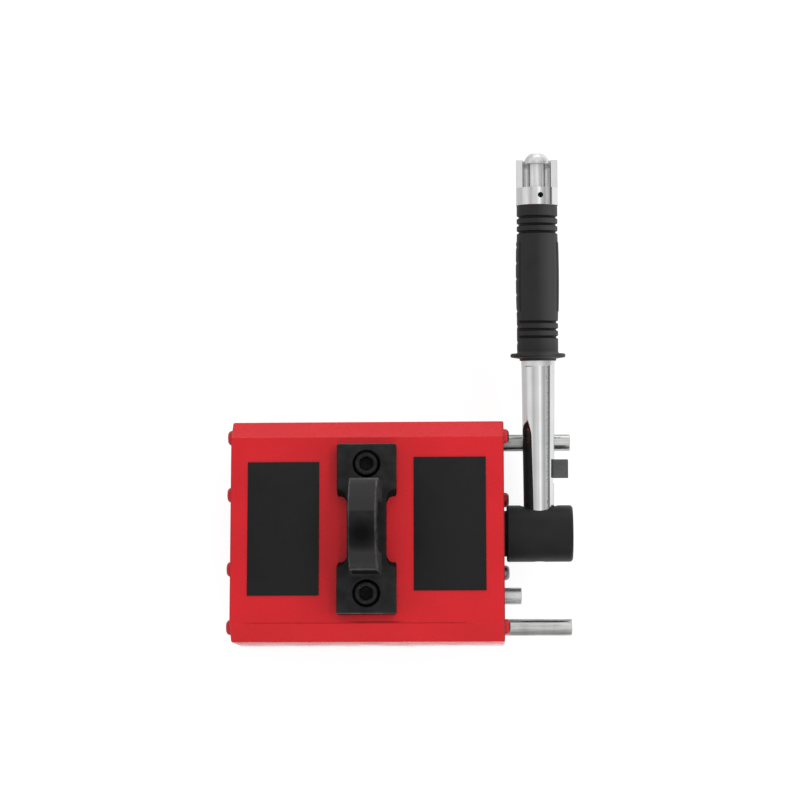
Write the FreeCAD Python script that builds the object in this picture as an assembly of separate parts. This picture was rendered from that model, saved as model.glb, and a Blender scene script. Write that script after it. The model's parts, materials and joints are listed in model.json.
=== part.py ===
import FreeCAD, Part
import math
import os

# Permanent magnetic lifter: a painted two-pole magnet block with a lifting eye and a switching handle.
# X runs along the block towards the handle, Y across it towards the resting handle, Z up.
# The origin is on the lifting face, under the middle of the lifting eye. All sizes are millimetres.

Vector = FreeCAD.Vector
ACROSS_X = Vector(1, 0, 0)
ACROSS_Y = Vector(0, 1, 0)
ACROSS_Z = Vector(0, 0, 1)

# Magnet block
block_length = 200.0
block_width = 162.0
shaft_height = 52.0
bore_diameter = 56.0
top_wall = 10.0
shoulder_chamfer = 13.0
shoulder_round = 1.5
foot_chamfer = 2.0
spacer_width = 28.0
groove_width = 52.0
groove_depth = 10.0
bottom_spacer_thickness = 4.0
fixed_magnet_count = 4
fixed_magnet_cover = 1.5
magnet_joint = 0.3

# End plates, their bearing bosses and their button-head screws
plate_thickness = 6.0
plate_edge_break = 0.8
boss_diameter = 40.0
boss_length = 8.0
plate_screw_diameter = 6.0
plate_screw_length = 20.0
plate_screw_head_diameter = 11.2
plate_screw_head_height = 4.0
plate_screw_socket = 4.0
plate_screw_socket_depth = 2.2
plate_screw_wall = 3.6
plate_screw_angle = 37.5
plate_screw_edge_inset = 11.0

# Rotor, shaft and bushes
air_gap = 0.4
rotor_end_gap = 0.5
rotor_magnet_thickness = 20.0
rotor_magnet_clearance = 0.5
rotor_magnet_count = 4
disc_thickness = 8.0
shaft_diameter = 20.0
running_clearance = 0.04
bush_wall = 3.5
bush_flange_diameter = 34.0
bush_flange_thickness = 1.8
hub_face_clearance = 0.1
rear_bush_length = 10.0
rotor_screw_diameter = 5.0
rotor_screw_head_diameter = 8.5
rotor_screw_head_height = 5.0
rotor_screw_length = 16.0
rotor_screw_circle = 40.0
rotor_screw_angle = 26.0

# Lifting eye and its socket-head screws
eye_length = 124.0
eye_pad_width = 43.4
eye_pad_thickness = 10.0
eye_pad_slope = 4.5
eye_pad_corner = 1.2
eye_shoulder = 24.0
eye_neck_round = 6.0
eye_waist_width = 28.6
eye_foot_width = 23.0
eye_top_width = 20.2
eye_height = 70.0
eye_arch_radius = 33.4
eye_arch_thickness = 15.0
eye_edge_round = 1.5
eye_screw_spacing = 94.0
eye_screw_diameter = 12.0
eye_screw_length = 30.0
eye_screw_head_diameter = 18.0
eye_screw_head_height = 7.0
eye_screw_head_break = 0.9
eye_screw_socket = 8.0
eye_screw_socket_depth = 4.0
eye_counterbore_diameter = 20.0
eye_counterbore_depth = 6.5
screw_hole_clearance = 1.0

# Stop pins on the drive end plate
pin_diameter = 12.5
pin_edge_inset = 12.0
pin_reach = 49.8
pin_seat_depth = 20.0
pin_end_chamfer = 0.5
short_pin_reach = 12.8
short_pin_pitch = 23.2
stop_gap = 0.3

# Handle: rest angle above the horizontal, and stations along the bar from the shaft axis
handle_rest_angle = 9.0
handle_offset = 26.0
bar_foot_diameter = 22.8
bar_diameter = 24.8
bar_seat = 12.0
bar_foot_end = 22.0
bar_spigot_diameter = 14.0
bar_spigot_reach = 11.0
hub_diameter = 42.0
hub_length = 49.0
hub_outer_round = 2.5
hub_inner_round = 1.5
hub_countersink_depth = 3.0
shaft_past_bar = 14.0
hub_set_screw_diameter = 10.0
hub_set_screw_length = 8.5
hub_set_screw_socket = 5.0

# Rubber grip
grip_start = 128.3
grip_length = 114.9
grip_end_diameter = 30.3
grip_bulge_diameter = 31.3
grip_collar_diameter = 27.2
grip_collar_length = 1.5
grip_flange_diameter = 41.0
grip_flange_slope = 0.8
grip_flange_thickness = 3.2
grip_flange_root = 1.5
grip_groove_width = 2.0
grip_groove_depth = 1.2
grip_groove_pitch = 5.6
grip_groove_count = 3
grip_inner_ring = 17.5
grip_outer_ring = 8.7
finger_pad_width = 17.2
finger_pad_rise = 0.4
finger_bump_rise = 0.4
finger_bump_pitch = 11.8
finger_bump_count = 4
finger_pad_inset = 36.0
finger_pad_lead = 3.0

# Guard cap on the end of the bar
cap_diameter = 31.0
cap_length = 34.2
cap_pocket_diameter = 21.0
cap_pocket_depth = 21.1
cap_edge_break = 0.4
tenon_diameter = 22.0
tenon_length = 10.7
cap_screw_diameter = 4.0
cap_screw_station = 7.1
cap_screw_length = 4.0
cap_screw_depth = 2.0
cap_screw_roll = 9.0
cap_screw_socket = 2.0

# Push button, rod, latch key and return spring
button_head_diameter = 18.8
button_head_height = 7.8
button_flat_diameter = 9.4
button_shoulder_diameter = 15.5
button_shoulder_rise = 3.5
button_rim_height = 0.9
button_rim_round = 0.8
button_proud = 4.4
button_stem_diameter = 11.8
button_stem_length = 34.0
button_travel = 3.5
rod_diameter = 6.0
rod_thread_length = 10.0
rod_run_out = 11.0
key_station = 41.3
key_length = 13.7
key_thickness = 9.0
key_back = 5.5
key_reach = 21.7
key_edge_break = 0.3
key_stop_gap = 0.3
key_pin_diameter = 3.0
spring_wire = 1.4
spring_wire_sides = 8
spring_coil_diameter = 10.4
spring_length = 35.0
spring_turns = 7
spring_seat_gap = 0.05
spring_chamber_diameter = 13.0

# Fits of pieces that stay together
seat_clearance = 0.05

# A hexagon's width over its corners for each unit over its flats, and how close counts as the same place
hex_ratio = 2.0 / math.sqrt(3.0)
same_place = 1e-4

# Places worked out from the sizes above
block_height = shaft_height + bore_diameter / 2 + top_wall
block_end = block_length / 2
plate_inner = block_end - plate_thickness
boss_face = plate_inner - boss_length
rotor_half_length = boss_face - rotor_end_gap
segment_half_length = rotor_half_length - disc_thickness
rotor_diameter = bore_diameter - 2 * air_gap
bush_bore = shaft_diameter + 2 * running_clearance
bush_diameter = bush_bore + 2 * bush_wall
hub_start = block_end + bush_flange_thickness + hub_face_clearance
handle_x = block_end + handle_offset
handle_travel = 180.0 - 2 * handle_rest_angle
bar_end = grip_start + grip_length
cap_end = bar_end + cap_length
button_end = cap_end + button_proud
button_stem_start = button_end - button_head_height - button_stem_length
pin_y = block_width / 2 - pin_edge_inset


def block_piece(x0, x1, y0, y1, z0, z1):
    """A box between two corners."""
    return Part.makeBox(x1 - x0, y1 - y0, z1 - z0, Vector(x0, y0, z0))


def round_bar(diameter, start, end):
    """A cylinder of that diameter from one point to another."""
    run = end - start
    return Part.makeCylinder(diameter / 2, run.Length, start, run)


def hex_bar(across_flats, start, end):
    """A six-sided bar between two points, for a screw's socket."""
    run = end - start
    radius = across_flats * hex_ratio / 2
    turns = [k * math.pi / 3 for k in range(6)]
    corners = [Vector(radius * math.cos(turn), radius * math.sin(turn), 0) for turn in turns]
    bar = Part.Face(Part.makePolygon(corners + corners[:1])).extrude(ACROSS_Z * run.Length)
    bar.Placement = FreeCAD.Placement(start, FreeCAD.Rotation(ACROSS_Z, run))
    return bar


def prism_along_x(outline, x0, x1):
    """A straight bar along X whose section is an outline of (y, z) points."""
    points = [Vector(x0, y, z) for y, z in outline]
    return Part.Face(Part.makePolygon(points + points[:1])).extrude(ACROSS_X * (x1 - x0))


def turned(start, *steps):
    """A body turned about the Y axis. Each step is a (radius, station) point, or a pair of such
    points for an arc through the first to the second."""
    def spot(point):
        return Vector(point[0], point[1], 0)

    edges = []
    here = spot(start)
    for step in steps + (start,):
        if isinstance(step[0], tuple):
            edges.append(Part.Arc(here, spot(step[0]), spot(step[1])).toShape())
            here = spot(step[1])
        else:
            edges.append(Part.makeLine(here, spot(step)))
            here = spot(step)
    return Part.Face(Part.Wire(edges)).revolve(Vector(0, 0, 0), ACROSS_Y, 360)


def dome_middle(rim, flat, height):
    """The (radius, rise) point halfway up a spherical dome from its rim to its flat top."""
    centre = (flat ** 2 + height ** 2 - rim ** 2) / (2 * height)
    middle = (rim + flat) / 2
    return middle, centre + math.sqrt(rim ** 2 + centre ** 2 - middle ** 2)


def edges_along(shape, way):
    """The straight edges of a shape that run along a direction, each with its first end."""
    found = []
    for edge in shape.Edges:
        if isinstance(edge.Curve, Part.Line) and edge.Curve.Direction.cross(way).Length < same_place:
            found.append((edge, edge.Vertexes[0].Point))
    return found


def edges_along_x_at(shape, spots):
    """The edges that run along X through any of the given (y, z) spots."""
    found = []
    for edge, end in edges_along(shape, ACROSS_X):
        if any(math.hypot(end.y - y, end.z - z) < same_place for y, z in spots):
            found.append(edge)
    return found


def circles_at_x(shape, x):
    """The round edges of a turned shape that lie in the plane at that X."""
    circles = [edge for edge in shape.Edges if isinstance(edge.Curve, Part.Circle)]
    return [edge for edge in circles if abs(edge.Vertexes[0].X - x) < same_place]


def on_handle(shape):
    """Carries a piece modelled along +Y from the shaft axis to the resting handle."""
    placed = shape.copy()
    placed.rotate(Vector(0, 0, 0), ACROSS_X, handle_rest_angle)
    placed.translate(Vector(handle_x, 0, shaft_height))
    return placed


# Where the fasteners and pins go

def plate_screw_places(side):
    """The (y, z) places of an end plate's four screws. The outer two are above the shaft. The inner two
    are above it on the rear plate and below it on the drive plate, where the side is 1."""
    circle = bore_diameter / 2 + plate_screw_wall + plate_screw_diameter / 2
    inner = circle * math.cos(math.radians(plate_screw_angle))
    rise = circle * math.sin(math.radians(plate_screw_angle))
    outer = block_width / 2 - plate_screw_edge_inset
    high = shaft_height + rise
    near = shaft_height - side * rise
    return [(-outer, high), (-inner, near), (inner, near), (outer, high)]


def stop_pin_height():
    """The bar rests on the back pin at the rest angle, and on the front pin at the end of its turn."""
    lean = math.radians(handle_rest_angle)
    along = pin_y / math.cos(lean)
    taper = (bar_diameter - bar_foot_diameter) / (grip_start - bar_foot_end)
    bar_here = bar_foot_diameter + taper * (along - bar_foot_end)
    apart = bar_here / 2 + pin_diameter / 2 + stop_gap
    return shaft_height - (apart - pin_y * math.sin(lean)) / math.cos(lean)


PLATE_SCREWS = {side: plate_screw_places(side) for side in (-1, 1)}
PIN_Z = stop_pin_height()
SHORT_PIN_Y = -(pin_y - short_pin_pitch)
PINS = {
    "back_stop_pin": (pin_y, pin_reach),
    "front_stop_pin": (-pin_y, pin_reach),
    "short_pin": (SHORT_PIN_Y, short_pin_reach),
}
EYE_SCREWS = (-eye_screw_spacing / 2, eye_screw_spacing / 2)


def cut_plate_holes(shape):
    """Drills the holes of the end-plate screws and the stop pins."""
    holes = []
    for side, places in PLATE_SCREWS.items():
        for y, z in places:
            face = Vector(side * block_end, y, z)
            holes.append(round_bar(plate_screw_diameter + seat_clearance, face,
                                   face - ACROSS_X * side * plate_screw_length))
    for y, _ in PINS.values():
        holes.append(round_bar(pin_diameter + seat_clearance, Vector(block_end, y, PIN_Z),
                               Vector(block_end - pin_seat_depth, y, PIN_Z)))
    return shape.cut(Part.makeCompound(holes))


# Magnet block: two steel pole shoes held apart by spacers, with a fixed magnet row under the rotor

def half_outline():
    """The right half of the block's section, from the groove round to the top."""
    half = block_width / 2
    return [
        (groove_width / 2, 0),
        (half - foot_chamfer, 0),
        (half, foot_chamfer),
        (half, block_height - shoulder_chamfer),
        (half - shoulder_chamfer, block_height),
    ]


SHOULDERS = half_outline()[3:]


def rotor_bore():
    centre = Vector(-block_length, 0, shaft_height)
    return round_bar(bore_diameter, centre, centre + ACROSS_X * 2 * block_length)


def pole_shoe(side):
    """One pole shoe: a profiled steel bar with half the rotor bore and the drilled holes."""
    inner = spacer_width / 2
    outline = [(inner, groove_depth)] + half_outline() + [(inner, block_height)]
    outline = [(side * y, z) for y, z in outline]
    shoe = prism_along_x(outline, -plate_inner, plate_inner)
    shoe = shoe.makeFillet(shoulder_round, edges_along_x_at(shoe, [(side * y, z) for y, z in SHOULDERS]))
    shoe = shoe.cut(rotor_bore())
    for y in EYE_SCREWS:
        top = block_height + eye_pad_thickness - eye_counterbore_depth
        shoe = shoe.cut(round_bar(eye_screw_diameter + seat_clearance, Vector(0, y, block_height),
                                  Vector(0, y, top - eye_screw_length)))
    return cut_plate_holes(shoe)


def top_spacer():
    half = spacer_width / 2
    bar = block_piece(-plate_inner, plate_inner, -half, half, shaft_height, block_height)
    return bar.cut(rotor_bore())


def bottom_spacer():
    half = spacer_width / 2
    return block_piece(-plate_inner, plate_inner, -half, half, groove_depth,
                       groove_depth + bottom_spacer_thickness)


def magnet_row(count, half_length, y0, y1, z0, z1):
    """A row of equal magnet blocks along X, set a joint's width apart."""
    pitch = 2 * half_length / count
    blocks = []
    for k in range(count):
        start = -half_length + k * pitch + magnet_joint / 2
        blocks.append(block_piece(start, start + pitch - magnet_joint, y0, y1, z0, z1))
    return Part.makeCompound(blocks)


def fixed_magnets():
    half = spacer_width / 2 - seat_clearance
    floor = groove_depth + bottom_spacer_thickness
    roof = shaft_height - bore_diameter / 2 - fixed_magnet_cover
    return magnet_row(fixed_magnet_count, plate_inner, -half, half, floor, roof)


# End plates with their bearing bosses, bushes and screws

def end_plate(side):
    """The plate on one end of the block, with the boss that carries the bush inside."""
    right = [(spacer_width / 2, groove_depth)] + half_outline()
    outline = right + [(-y, z) for y, z in reversed(right)]
    outer = side * block_end
    plate = prism_along_x(outline, side * plate_inner, outer)
    corners = SHOULDERS + [(-y, z) for y, z in SHOULDERS]
    plate = plate.makeFillet(shoulder_round, edges_along_x_at(plate, corners))
    rim = [edge for edge in plate.Edges if all(abs(v.X - outer) < same_place for v in edge.Vertexes)]
    plate = plate.makeChamfer(plate_edge_break, rim)
    axis = Vector(side * boss_face, 0, shaft_height)
    root = axis + ACROSS_X * side * (boss_length + plate_thickness / 2)
    plate = plate.fuse(round_bar(boss_diameter, axis, root))
    depth = boss_length + plate_thickness if side > 0 else rear_bush_length
    plate = plate.cut(round_bar(bush_diameter + seat_clearance, axis, axis + ACROSS_X * side * depth))
    return cut_plate_holes(plate).removeSplitter()


def drive_bush():
    """Flanged bush: its flange is the thrust face between the plate and the hub."""
    start = Vector(boss_face, 0, shaft_height)
    face = Vector(block_end, 0, shaft_height)
    end = face + ACROSS_X * bush_flange_thickness
    body = round_bar(bush_diameter, start, end).fuse(round_bar(bush_flange_diameter, face, end))
    return body.cut(round_bar(bush_bore, start, end)).removeSplitter()


def rear_bush():
    start = Vector(-boss_face, 0, shaft_height)
    end = start - ACROSS_X * rear_bush_length
    return round_bar(bush_diameter, start, end).cut(round_bar(bush_bore, start, end))


def plate_screws(side):
    """Four button-head screws with domed heads and hexagon sockets."""
    rim = plate_screw_head_diameter / 2
    flat = plate_screw_socket * hex_ratio / 2
    height = plate_screw_head_height
    head = turned((0, 0), (rim, 0), (dome_middle(rim, flat, height), (flat, height)), (0, height))
    shank = round_bar(plate_screw_diameter, Vector(0, 0, 0), Vector(0, -plate_screw_length, 0))
    top = Vector(0, height, 0)
    screw = head.fuse(shank).removeSplitter()
    screw = screw.cut(hex_bar(plate_screw_socket, top, top - ACROSS_Y * plate_screw_socket_depth))
    screw.rotate(Vector(0, 0, 0), ACROSS_Z, -90 * side)
    copies = []
    for y, z in PLATE_SCREWS[side]:
        copy = screw.copy()
        copy.translate(Vector(side * block_end, y, z))
        copies.append(copy)
    return Part.makeCompound(copies)


# Stop pins pressed into the drive end

def stop_pin(y, reach):
    start = Vector(block_end - pin_seat_depth, y, PIN_Z)
    pin = round_bar(pin_diameter, start, Vector(block_end + reach, y, PIN_Z))
    ends = [edge for edge in pin.Edges if isinstance(edge.Curve, Part.Circle)]
    return pin.makeChamfer(pin_end_chamfer, ends)


# Lifting eye: one casting, a waisted base with two pads and a strap arch across it

def eye_base():
    """The base plate: two pads with sloping shoulders, joined by a waist with rounded necks."""
    waist = eye_waist_width / 2
    pad = eye_pad_width / 2
    end = eye_length / 2
    neck = min(eye_neck_round, pad - waist)
    thickness = eye_pad_thickness
    plate = block_piece(-pad, pad, -end, end, 0, thickness)
    plate = plate.makeFillet(eye_pad_corner, [edge for edge, _ in edges_along(plate, ACROSS_Z)])
    low = eye_shoulder - eye_pad_slope
    high = eye_shoulder + 2 * eye_pad_slope
    opening = [(-low, -thickness), (low, -thickness), (high, 2 * thickness), (-high, 2 * thickness)]
    gap = prism_along_x(opening, waist, 2 * pad)
    corners = []
    for way in (-1, 1):
        corners += edges_along(gap, Vector(0, way * eye_pad_slope, thickness).normalize())
    gap = gap.makeFillet(neck, [edge for edge, end in corners if abs(end.x - waist) < same_place])
    return plate.cut(gap).cut(gap.mirror(Vector(0, 0, 0), ACROSS_X))


def eye_arch():
    """The strap arch: a half round on two legs, a little narrower at the top than at the foot."""
    outer = eye_arch_radius
    inner = outer - eye_arch_thickness
    centre = eye_height - outer
    half = eye_foot_width

    def solid_arch(radius, foot):
        legs = block_piece(-half, half, -radius, radius, foot, centre)
        crown = round_bar(2 * radius, Vector(-half, 0, centre), Vector(half, 0, centre))
        return legs.fuse(crown)

    arch = solid_arch(outer, 0).cut(solid_arch(inner, -eye_pad_thickness)).removeSplitter()
    base = eye_foot_width / 2
    top = eye_top_width / 2
    taper = [Vector(-base, -outer, 0), Vector(base, -outer, 0),
             Vector(top, -outer, eye_height), Vector(-top, -outer, eye_height)]
    wedge = Part.Face(Part.makePolygon(taper + taper[:1])).extrude(ACROSS_Y * 2 * outer)
    arch = arch.common(wedge)
    rims = []
    for edge in arch.Edges:
        middle = edge.valueAt((edge.FirstParameter + edge.LastParameter) / 2)
        on_side = abs(abs(middle.x) - (base + (top - base) * middle.z / eye_height)) < same_place
        if on_side and middle.z > same_place:
            rims.append(edge)
    return arch.makeFillet(eye_edge_round, rims)


def lifting_eye():
    eye = eye_base().fuse(eye_arch()).removeSplitter()
    for y in EYE_SCREWS:
        top = Vector(0, y, eye_pad_thickness)
        eye = eye.cut(round_bar(eye_counterbore_diameter, top, top - ACROSS_Z * eye_counterbore_depth))
        eye = eye.cut(round_bar(eye_screw_diameter + screw_hole_clearance, top, Vector(0, y, 0)))
    eye.translate(Vector(0, 0, block_height))
    return eye


def eye_screws():
    """Two socket-head screws down through the pads into the pole shoes."""
    screws = []
    for y in EYE_SCREWS:
        seat = Vector(0, y, block_height + eye_pad_thickness - eye_counterbore_depth)
        top = seat + ACROSS_Z * eye_screw_head_height
        head = round_bar(eye_screw_head_diameter, seat, top)
        rim = [edge for edge in head.Edges if edge.Closed and edge.Vertexes[0].Z > top.z - same_place]
        head = head.makeChamfer(eye_screw_head_break, rim)
        screw = head.fuse(round_bar(eye_screw_diameter, seat, seat - ACROSS_Z * eye_screw_length))
        screw = screw.removeSplitter()
        screws.append(screw.cut(hex_bar(eye_screw_socket, top, top - ACROSS_Z * eye_screw_socket_depth)))
    return Part.makeCompound(screws)


# Rotor: two steel segments and a magnet row between two discs, drawn at the on position

def at_rest_turn(shape):
    """Turns a rotor piece from the on position back to where the resting handle holds it."""
    turned_back = shape.copy()
    turned_back.rotate(Vector(0, 0, shaft_height), ACROSS_X, -handle_travel)
    return turned_back


def rotor_screw_places():
    radius = rotor_screw_circle / 2
    angles = [math.radians(base + sign * rotor_screw_angle) for base in (0, 180) for sign in (-1, 1)]
    return [(radius * math.cos(angle), shaft_height + radius * math.sin(angle)) for angle in angles]


def rotor_screw_holes(diameter):
    holes = []
    for y, z in rotor_screw_places():
        for side in (-1, 1):
            seat = Vector(side * (rotor_half_length - rotor_screw_head_height), y, z)
            holes.append(round_bar(diameter, seat, seat - ACROSS_X * side * rotor_screw_length))
    return holes


def rotor_segment(side):
    """One rotor pole: the cylinder's segment beside the magnet row."""
    axis = Vector(-segment_half_length, 0, shaft_height)
    body = round_bar(rotor_diameter, axis, axis + ACROSS_X * 2 * segment_half_length)
    inner = side * rotor_magnet_thickness / 2
    outer = side * rotor_diameter
    low = shaft_height - rotor_diameter
    high = shaft_height + rotor_diameter
    beside = [(inner, low), (outer, low), (outer, high), (inner, high)]
    body = body.common(prism_along_x(beside, -block_end, block_end))
    body = body.cut(Part.makeCompound(rotor_screw_holes(rotor_screw_diameter + seat_clearance)))
    return at_rest_turn(body)


def rotor_magnets():
    half = rotor_magnet_thickness / 2
    reach = math.sqrt((rotor_diameter / 2) ** 2 - half ** 2) - rotor_magnet_clearance
    half = half - seat_clearance
    return at_rest_turn(magnet_row(rotor_magnet_count, segment_half_length, -half, half,
                                   shaft_height - reach, shaft_height + reach))


def rotor_disc(side):
    """The disc that closes one end of the rotor, with sunk seats for its screws."""
    inner = Vector(side * segment_half_length, 0, shaft_height)
    outer = Vector(side * rotor_half_length, 0, shaft_height)
    disc = round_bar(rotor_diameter, inner, outer)
    holes = rotor_screw_holes(rotor_screw_diameter + seat_clearance)
    for y, z in rotor_screw_places():
        face = Vector(side * rotor_half_length, y, z)
        holes.append(round_bar(rotor_screw_head_diameter + screw_hole_clearance, face,
                               face - ACROSS_X * side * rotor_screw_head_height))
    return at_rest_turn(disc.cut(Part.makeCompound(holes)))


def bar_spigot_hole():
    """The hole across the hub and the shaft that the bar's spigot drives."""
    return on_handle(round_bar(bar_spigot_diameter + seat_clearance, Vector(0, -bar_spigot_reach, 0),
                               Vector(0, bar_seat, 0)))


def drive_shaft():
    start = Vector(rotor_half_length - disc_thickness / 2, 0, shaft_height)
    journal = round_bar(shaft_diameter, start, Vector(handle_x + shaft_past_bar, 0, shaft_height))
    return rotor_disc(1).fuse(journal).removeSplitter().cut(bar_spigot_hole())


def rear_stub_shaft():
    start = Vector(disc_thickness / 2 - rotor_half_length, 0, shaft_height)
    end = Vector(-boss_face - rear_bush_length + rotor_end_gap, 0, shaft_height)
    return rotor_disc(-1).fuse(round_bar(shaft_diameter, start, end)).removeSplitter()


def rotor_screws():
    screws = []
    for y, z in rotor_screw_places():
        for side in (-1, 1):
            face = Vector(side * rotor_half_length, y, z)
            seat = face - ACROSS_X * side * rotor_screw_head_height
            shank = round_bar(rotor_screw_diameter, seat, seat - ACROSS_X * side * rotor_screw_length)
            screws.append(round_bar(rotor_screw_head_diameter, seat, face).fuse(shank).removeSplitter())
    return at_rest_turn(Part.makeCompound(screws))


# Hub on the shaft, with the countersunk socket that the handle bar stands in

def hub():
    start = Vector(hub_start - handle_x, 0, 0)
    end = start + ACROSS_X * hub_length
    body = round_bar(hub_diameter, start, end)
    body = body.makeFillet(hub_outer_round, circles_at_x(body, end.x))
    body = body.makeFillet(hub_inner_round, circles_at_x(body, start.x))
    shaft_end = Vector(shaft_past_bar + seat_clearance, 0, 0)
    body = body.cut(round_bar(shaft_diameter + seat_clearance, start, shaft_end))
    socket = bar_foot_diameter + seat_clearance
    body = body.cut(round_bar(socket, Vector(0, bar_seat, 0), Vector(0, hub_diameter, 0)))
    sink = hub_diameter / 2 - hub_countersink_depth
    rise = hub_diameter
    body = body.cut(Part.makeCone(socket / 2, socket / 2 + rise, rise, Vector(0, sink, 0), ACROSS_Y))
    body = body.cut(round_bar(hub_set_screw_diameter + seat_clearance, Vector(0, -hub_diameter, 0),
                              Vector(0, 0, 0)))
    return on_handle(body).cut(bar_spigot_hole())


def hub_set_screw():
    tip = Vector(0, -bar_spigot_reach, 0)
    end = tip - ACROSS_Y * hub_set_screw_length
    socket = hex_bar(hub_set_screw_socket, end, (tip + end) / 2)
    return on_handle(round_bar(hub_set_screw_diameter, tip, end).cut(socket))


# Handle bar: spigot, tapered shank, grip length and cap tenon, bored for the push rod

def handle_bar():
    spigot = bar_spigot_diameter / 2
    foot = bar_foot_diameter / 2
    full = bar_diameter / 2
    tenon = tenon_diameter / 2
    bar = turned((0, -bar_spigot_reach), (spigot, -bar_spigot_reach), (spigot, bar_seat), (foot, bar_seat),
                 (foot, bar_foot_end), (full, grip_start), (full, bar_end), (tenon, bar_end),
                 (tenon, bar_end + tenon_length), (0, bar_end + tenon_length))
    end = Vector(0, bar_end + tenon_length, 0)
    guide = rod_diameter + 2 * running_clearance
    bar = bar.cut(round_bar(guide, Vector(0, key_station - rod_run_out, 0), end))
    spring_seat = button_stem_start - spring_length
    bar = bar.cut(round_bar(spring_chamber_diameter, Vector(0, spring_seat, 0), end))
    side = key_thickness / 2 + key_stop_gap
    bar = bar.cut(block_piece(-key_back - key_stop_gap, bar_diameter,
                              key_station - button_travel - key_stop_gap,
                              key_station + key_length + key_stop_gap, -side, side))
    return on_handle(bar.cut(cap_screw_hole()))


def cap_screw_axis():
    """The end, on the cap's skin, and the direction of the small screw that holds the cap."""
    roll = math.radians(cap_screw_roll)
    inward = Vector(-math.sin(roll), 0, -math.cos(roll))
    return Vector(0, bar_end + cap_screw_station, 0) - inward * cap_diameter / 2, inward


def cap_screw_hole():
    skin, inward = cap_screw_axis()
    return round_bar(cap_screw_diameter + seat_clearance, skin - inward * cap_screw_depth,
                     skin + inward * (cap_screw_depth + cap_screw_length))


# Rubber grip: a bulged sleeve with ring grooves, a hand flange and finger pads on its sides

def grip_bulge(rise):
    """The points of the bulge between its two ends, raised over the whole length."""
    start = grip_start + grip_inner_ring + grip_groove_count * grip_groove_pitch - grip_groove_pitch / 2
    end = bar_end - grip_outer_ring - grip_groove_count * grip_groove_pitch + grip_groove_pitch / 2
    radius = grip_end_diameter / 2 + rise
    crest = grip_bulge_diameter / 2 + rise
    return (radius, start), (crest, (start + end) / 2), (radius, end)


def grip_sleeve():
    bore = (bar_diameter + seat_clearance) / 2
    ring = grip_end_diameter / 2
    collar = grip_collar_diameter / 2
    rim = grip_flange_diameter / 2
    rim_round = grip_flange_thickness / 2
    flange_face = grip_start + grip_collar_length
    rim_low = flange_face + grip_flange_slope
    rim_high = rim_low + grip_flange_thickness
    root = grip_flange_root
    root_middle = root * (1 - math.sqrt(0.5))
    low, crest, high = grip_bulge(0)
    return turned((bore, grip_start), (collar, grip_start), (collar, flange_face),
                  (rim - rim_round, rim_low),
                  ((rim, (rim_low + rim_high) / 2), (rim - rim_round, rim_high)), (ring + root, rim_high),
                  ((ring + root_middle, rim_high + root_middle), (ring, rim_high + root)),
                  low, (crest, high), (ring, bar_end), (bore, bar_end))


def grip_grooves():
    """Three ring grooves beside each end of the bulge."""
    first_low = grip_start + grip_inner_ring
    first_high = bar_end - grip_outer_ring
    stations = [first_low + k * grip_groove_pitch for k in range(grip_groove_count)]
    stations += [first_high - k * grip_groove_pitch for k in range(grip_groove_count)]
    floor = grip_end_diameter / 2 - grip_groove_depth
    mouth = grip_end_diameter / 2 + grip_groove_depth
    half = grip_groove_width / 2
    flare = half + grip_groove_depth
    rings = [turned((floor, s - half / 2), (mouth, s - flare), (mouth, s + flare), (floor, s + half / 2))
             for s in stations]
    return Part.makeCompound(rings)


def finger_pads():
    """Raised pads on both sides of the bulge: bumped on one side, smooth on the other."""
    half = finger_pad_width / 2
    first = grip_start + finger_pad_inset
    last = first + finger_bump_count * finger_bump_pitch + finger_pad_lead
    low, crest, high = grip_bulge(finger_pad_rise)

    def skin(station):
        spread = (high[1] - low[1]) / 2
        offset = (station - crest[1]) / spread
        return crest[0] - (crest[0] - low[0]) * offset ** 2

    bumps = []
    for k in range(finger_bump_count):
        start = first + k * finger_bump_pitch
        middle = start + finger_bump_pitch / 2
        end = start + finger_bump_pitch
        bumps.append(((skin(middle) + finger_bump_rise, middle), (skin(end), end)))
    inner = bar_diameter / 2 + grip_groove_depth
    bumped = turned((inner, first), (skin(first), first), *bumps, (skin(last), last), (inner, last))
    middle = (first + last) / 2
    smooth = turned((inner, first), (skin(first), first), ((skin(middle), middle), (skin(last), last)),
                    (inner, last))
    reach = grip_bulge_diameter
    left = block_piece(-reach, -inner / 2, first - 1, last + 1, -half, half)
    right = block_piece(inner / 2, reach, first - 1, last + 1, -half, half)
    return [bumped.common(left), smooth.common(right)]


def grip():
    sleeve = grip_sleeve().cut(grip_grooves())
    return on_handle(sleeve.fuse(finger_pads()).removeSplitter())


# Guard cap: a socket for the bar's tenon and a half-open cup round the push button

def guard_cap():
    outer = cap_diameter / 2
    tenon = (tenon_diameter + seat_clearance) / 2
    stem = button_stem_diameter / 2 + running_clearance
    pocket = cap_pocket_diameter / 2
    shoulder = bar_end + tenon_length
    floor = cap_end - cap_pocket_depth
    cap = turned((tenon, bar_end), (outer - cap_edge_break, bar_end), (outer, bar_end + cap_edge_break),
                 (outer, cap_end - cap_edge_break), (outer - cap_edge_break, cap_end), (pocket, cap_end),
                 (pocket, floor), (stem, floor), (stem, shoulder), (tenon, shoulder))
    window = block_piece(-cap_diameter, cap_diameter, floor, cap_end + cap_diameter, 0, cap_diameter)
    return on_handle(cap.cut(window).cut(cap_screw_hole()))


def cap_set_screw():
    skin, inward = cap_screw_axis()
    top = skin + inward * cap_screw_depth
    screw = round_bar(cap_screw_diameter, top, top + inward * cap_screw_length)
    return on_handle(screw.cut(hex_bar(cap_screw_socket, top, top + inward * cap_screw_length / 2)))


# Push button with its rod, the latch key in the bar's slot and the return spring

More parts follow.
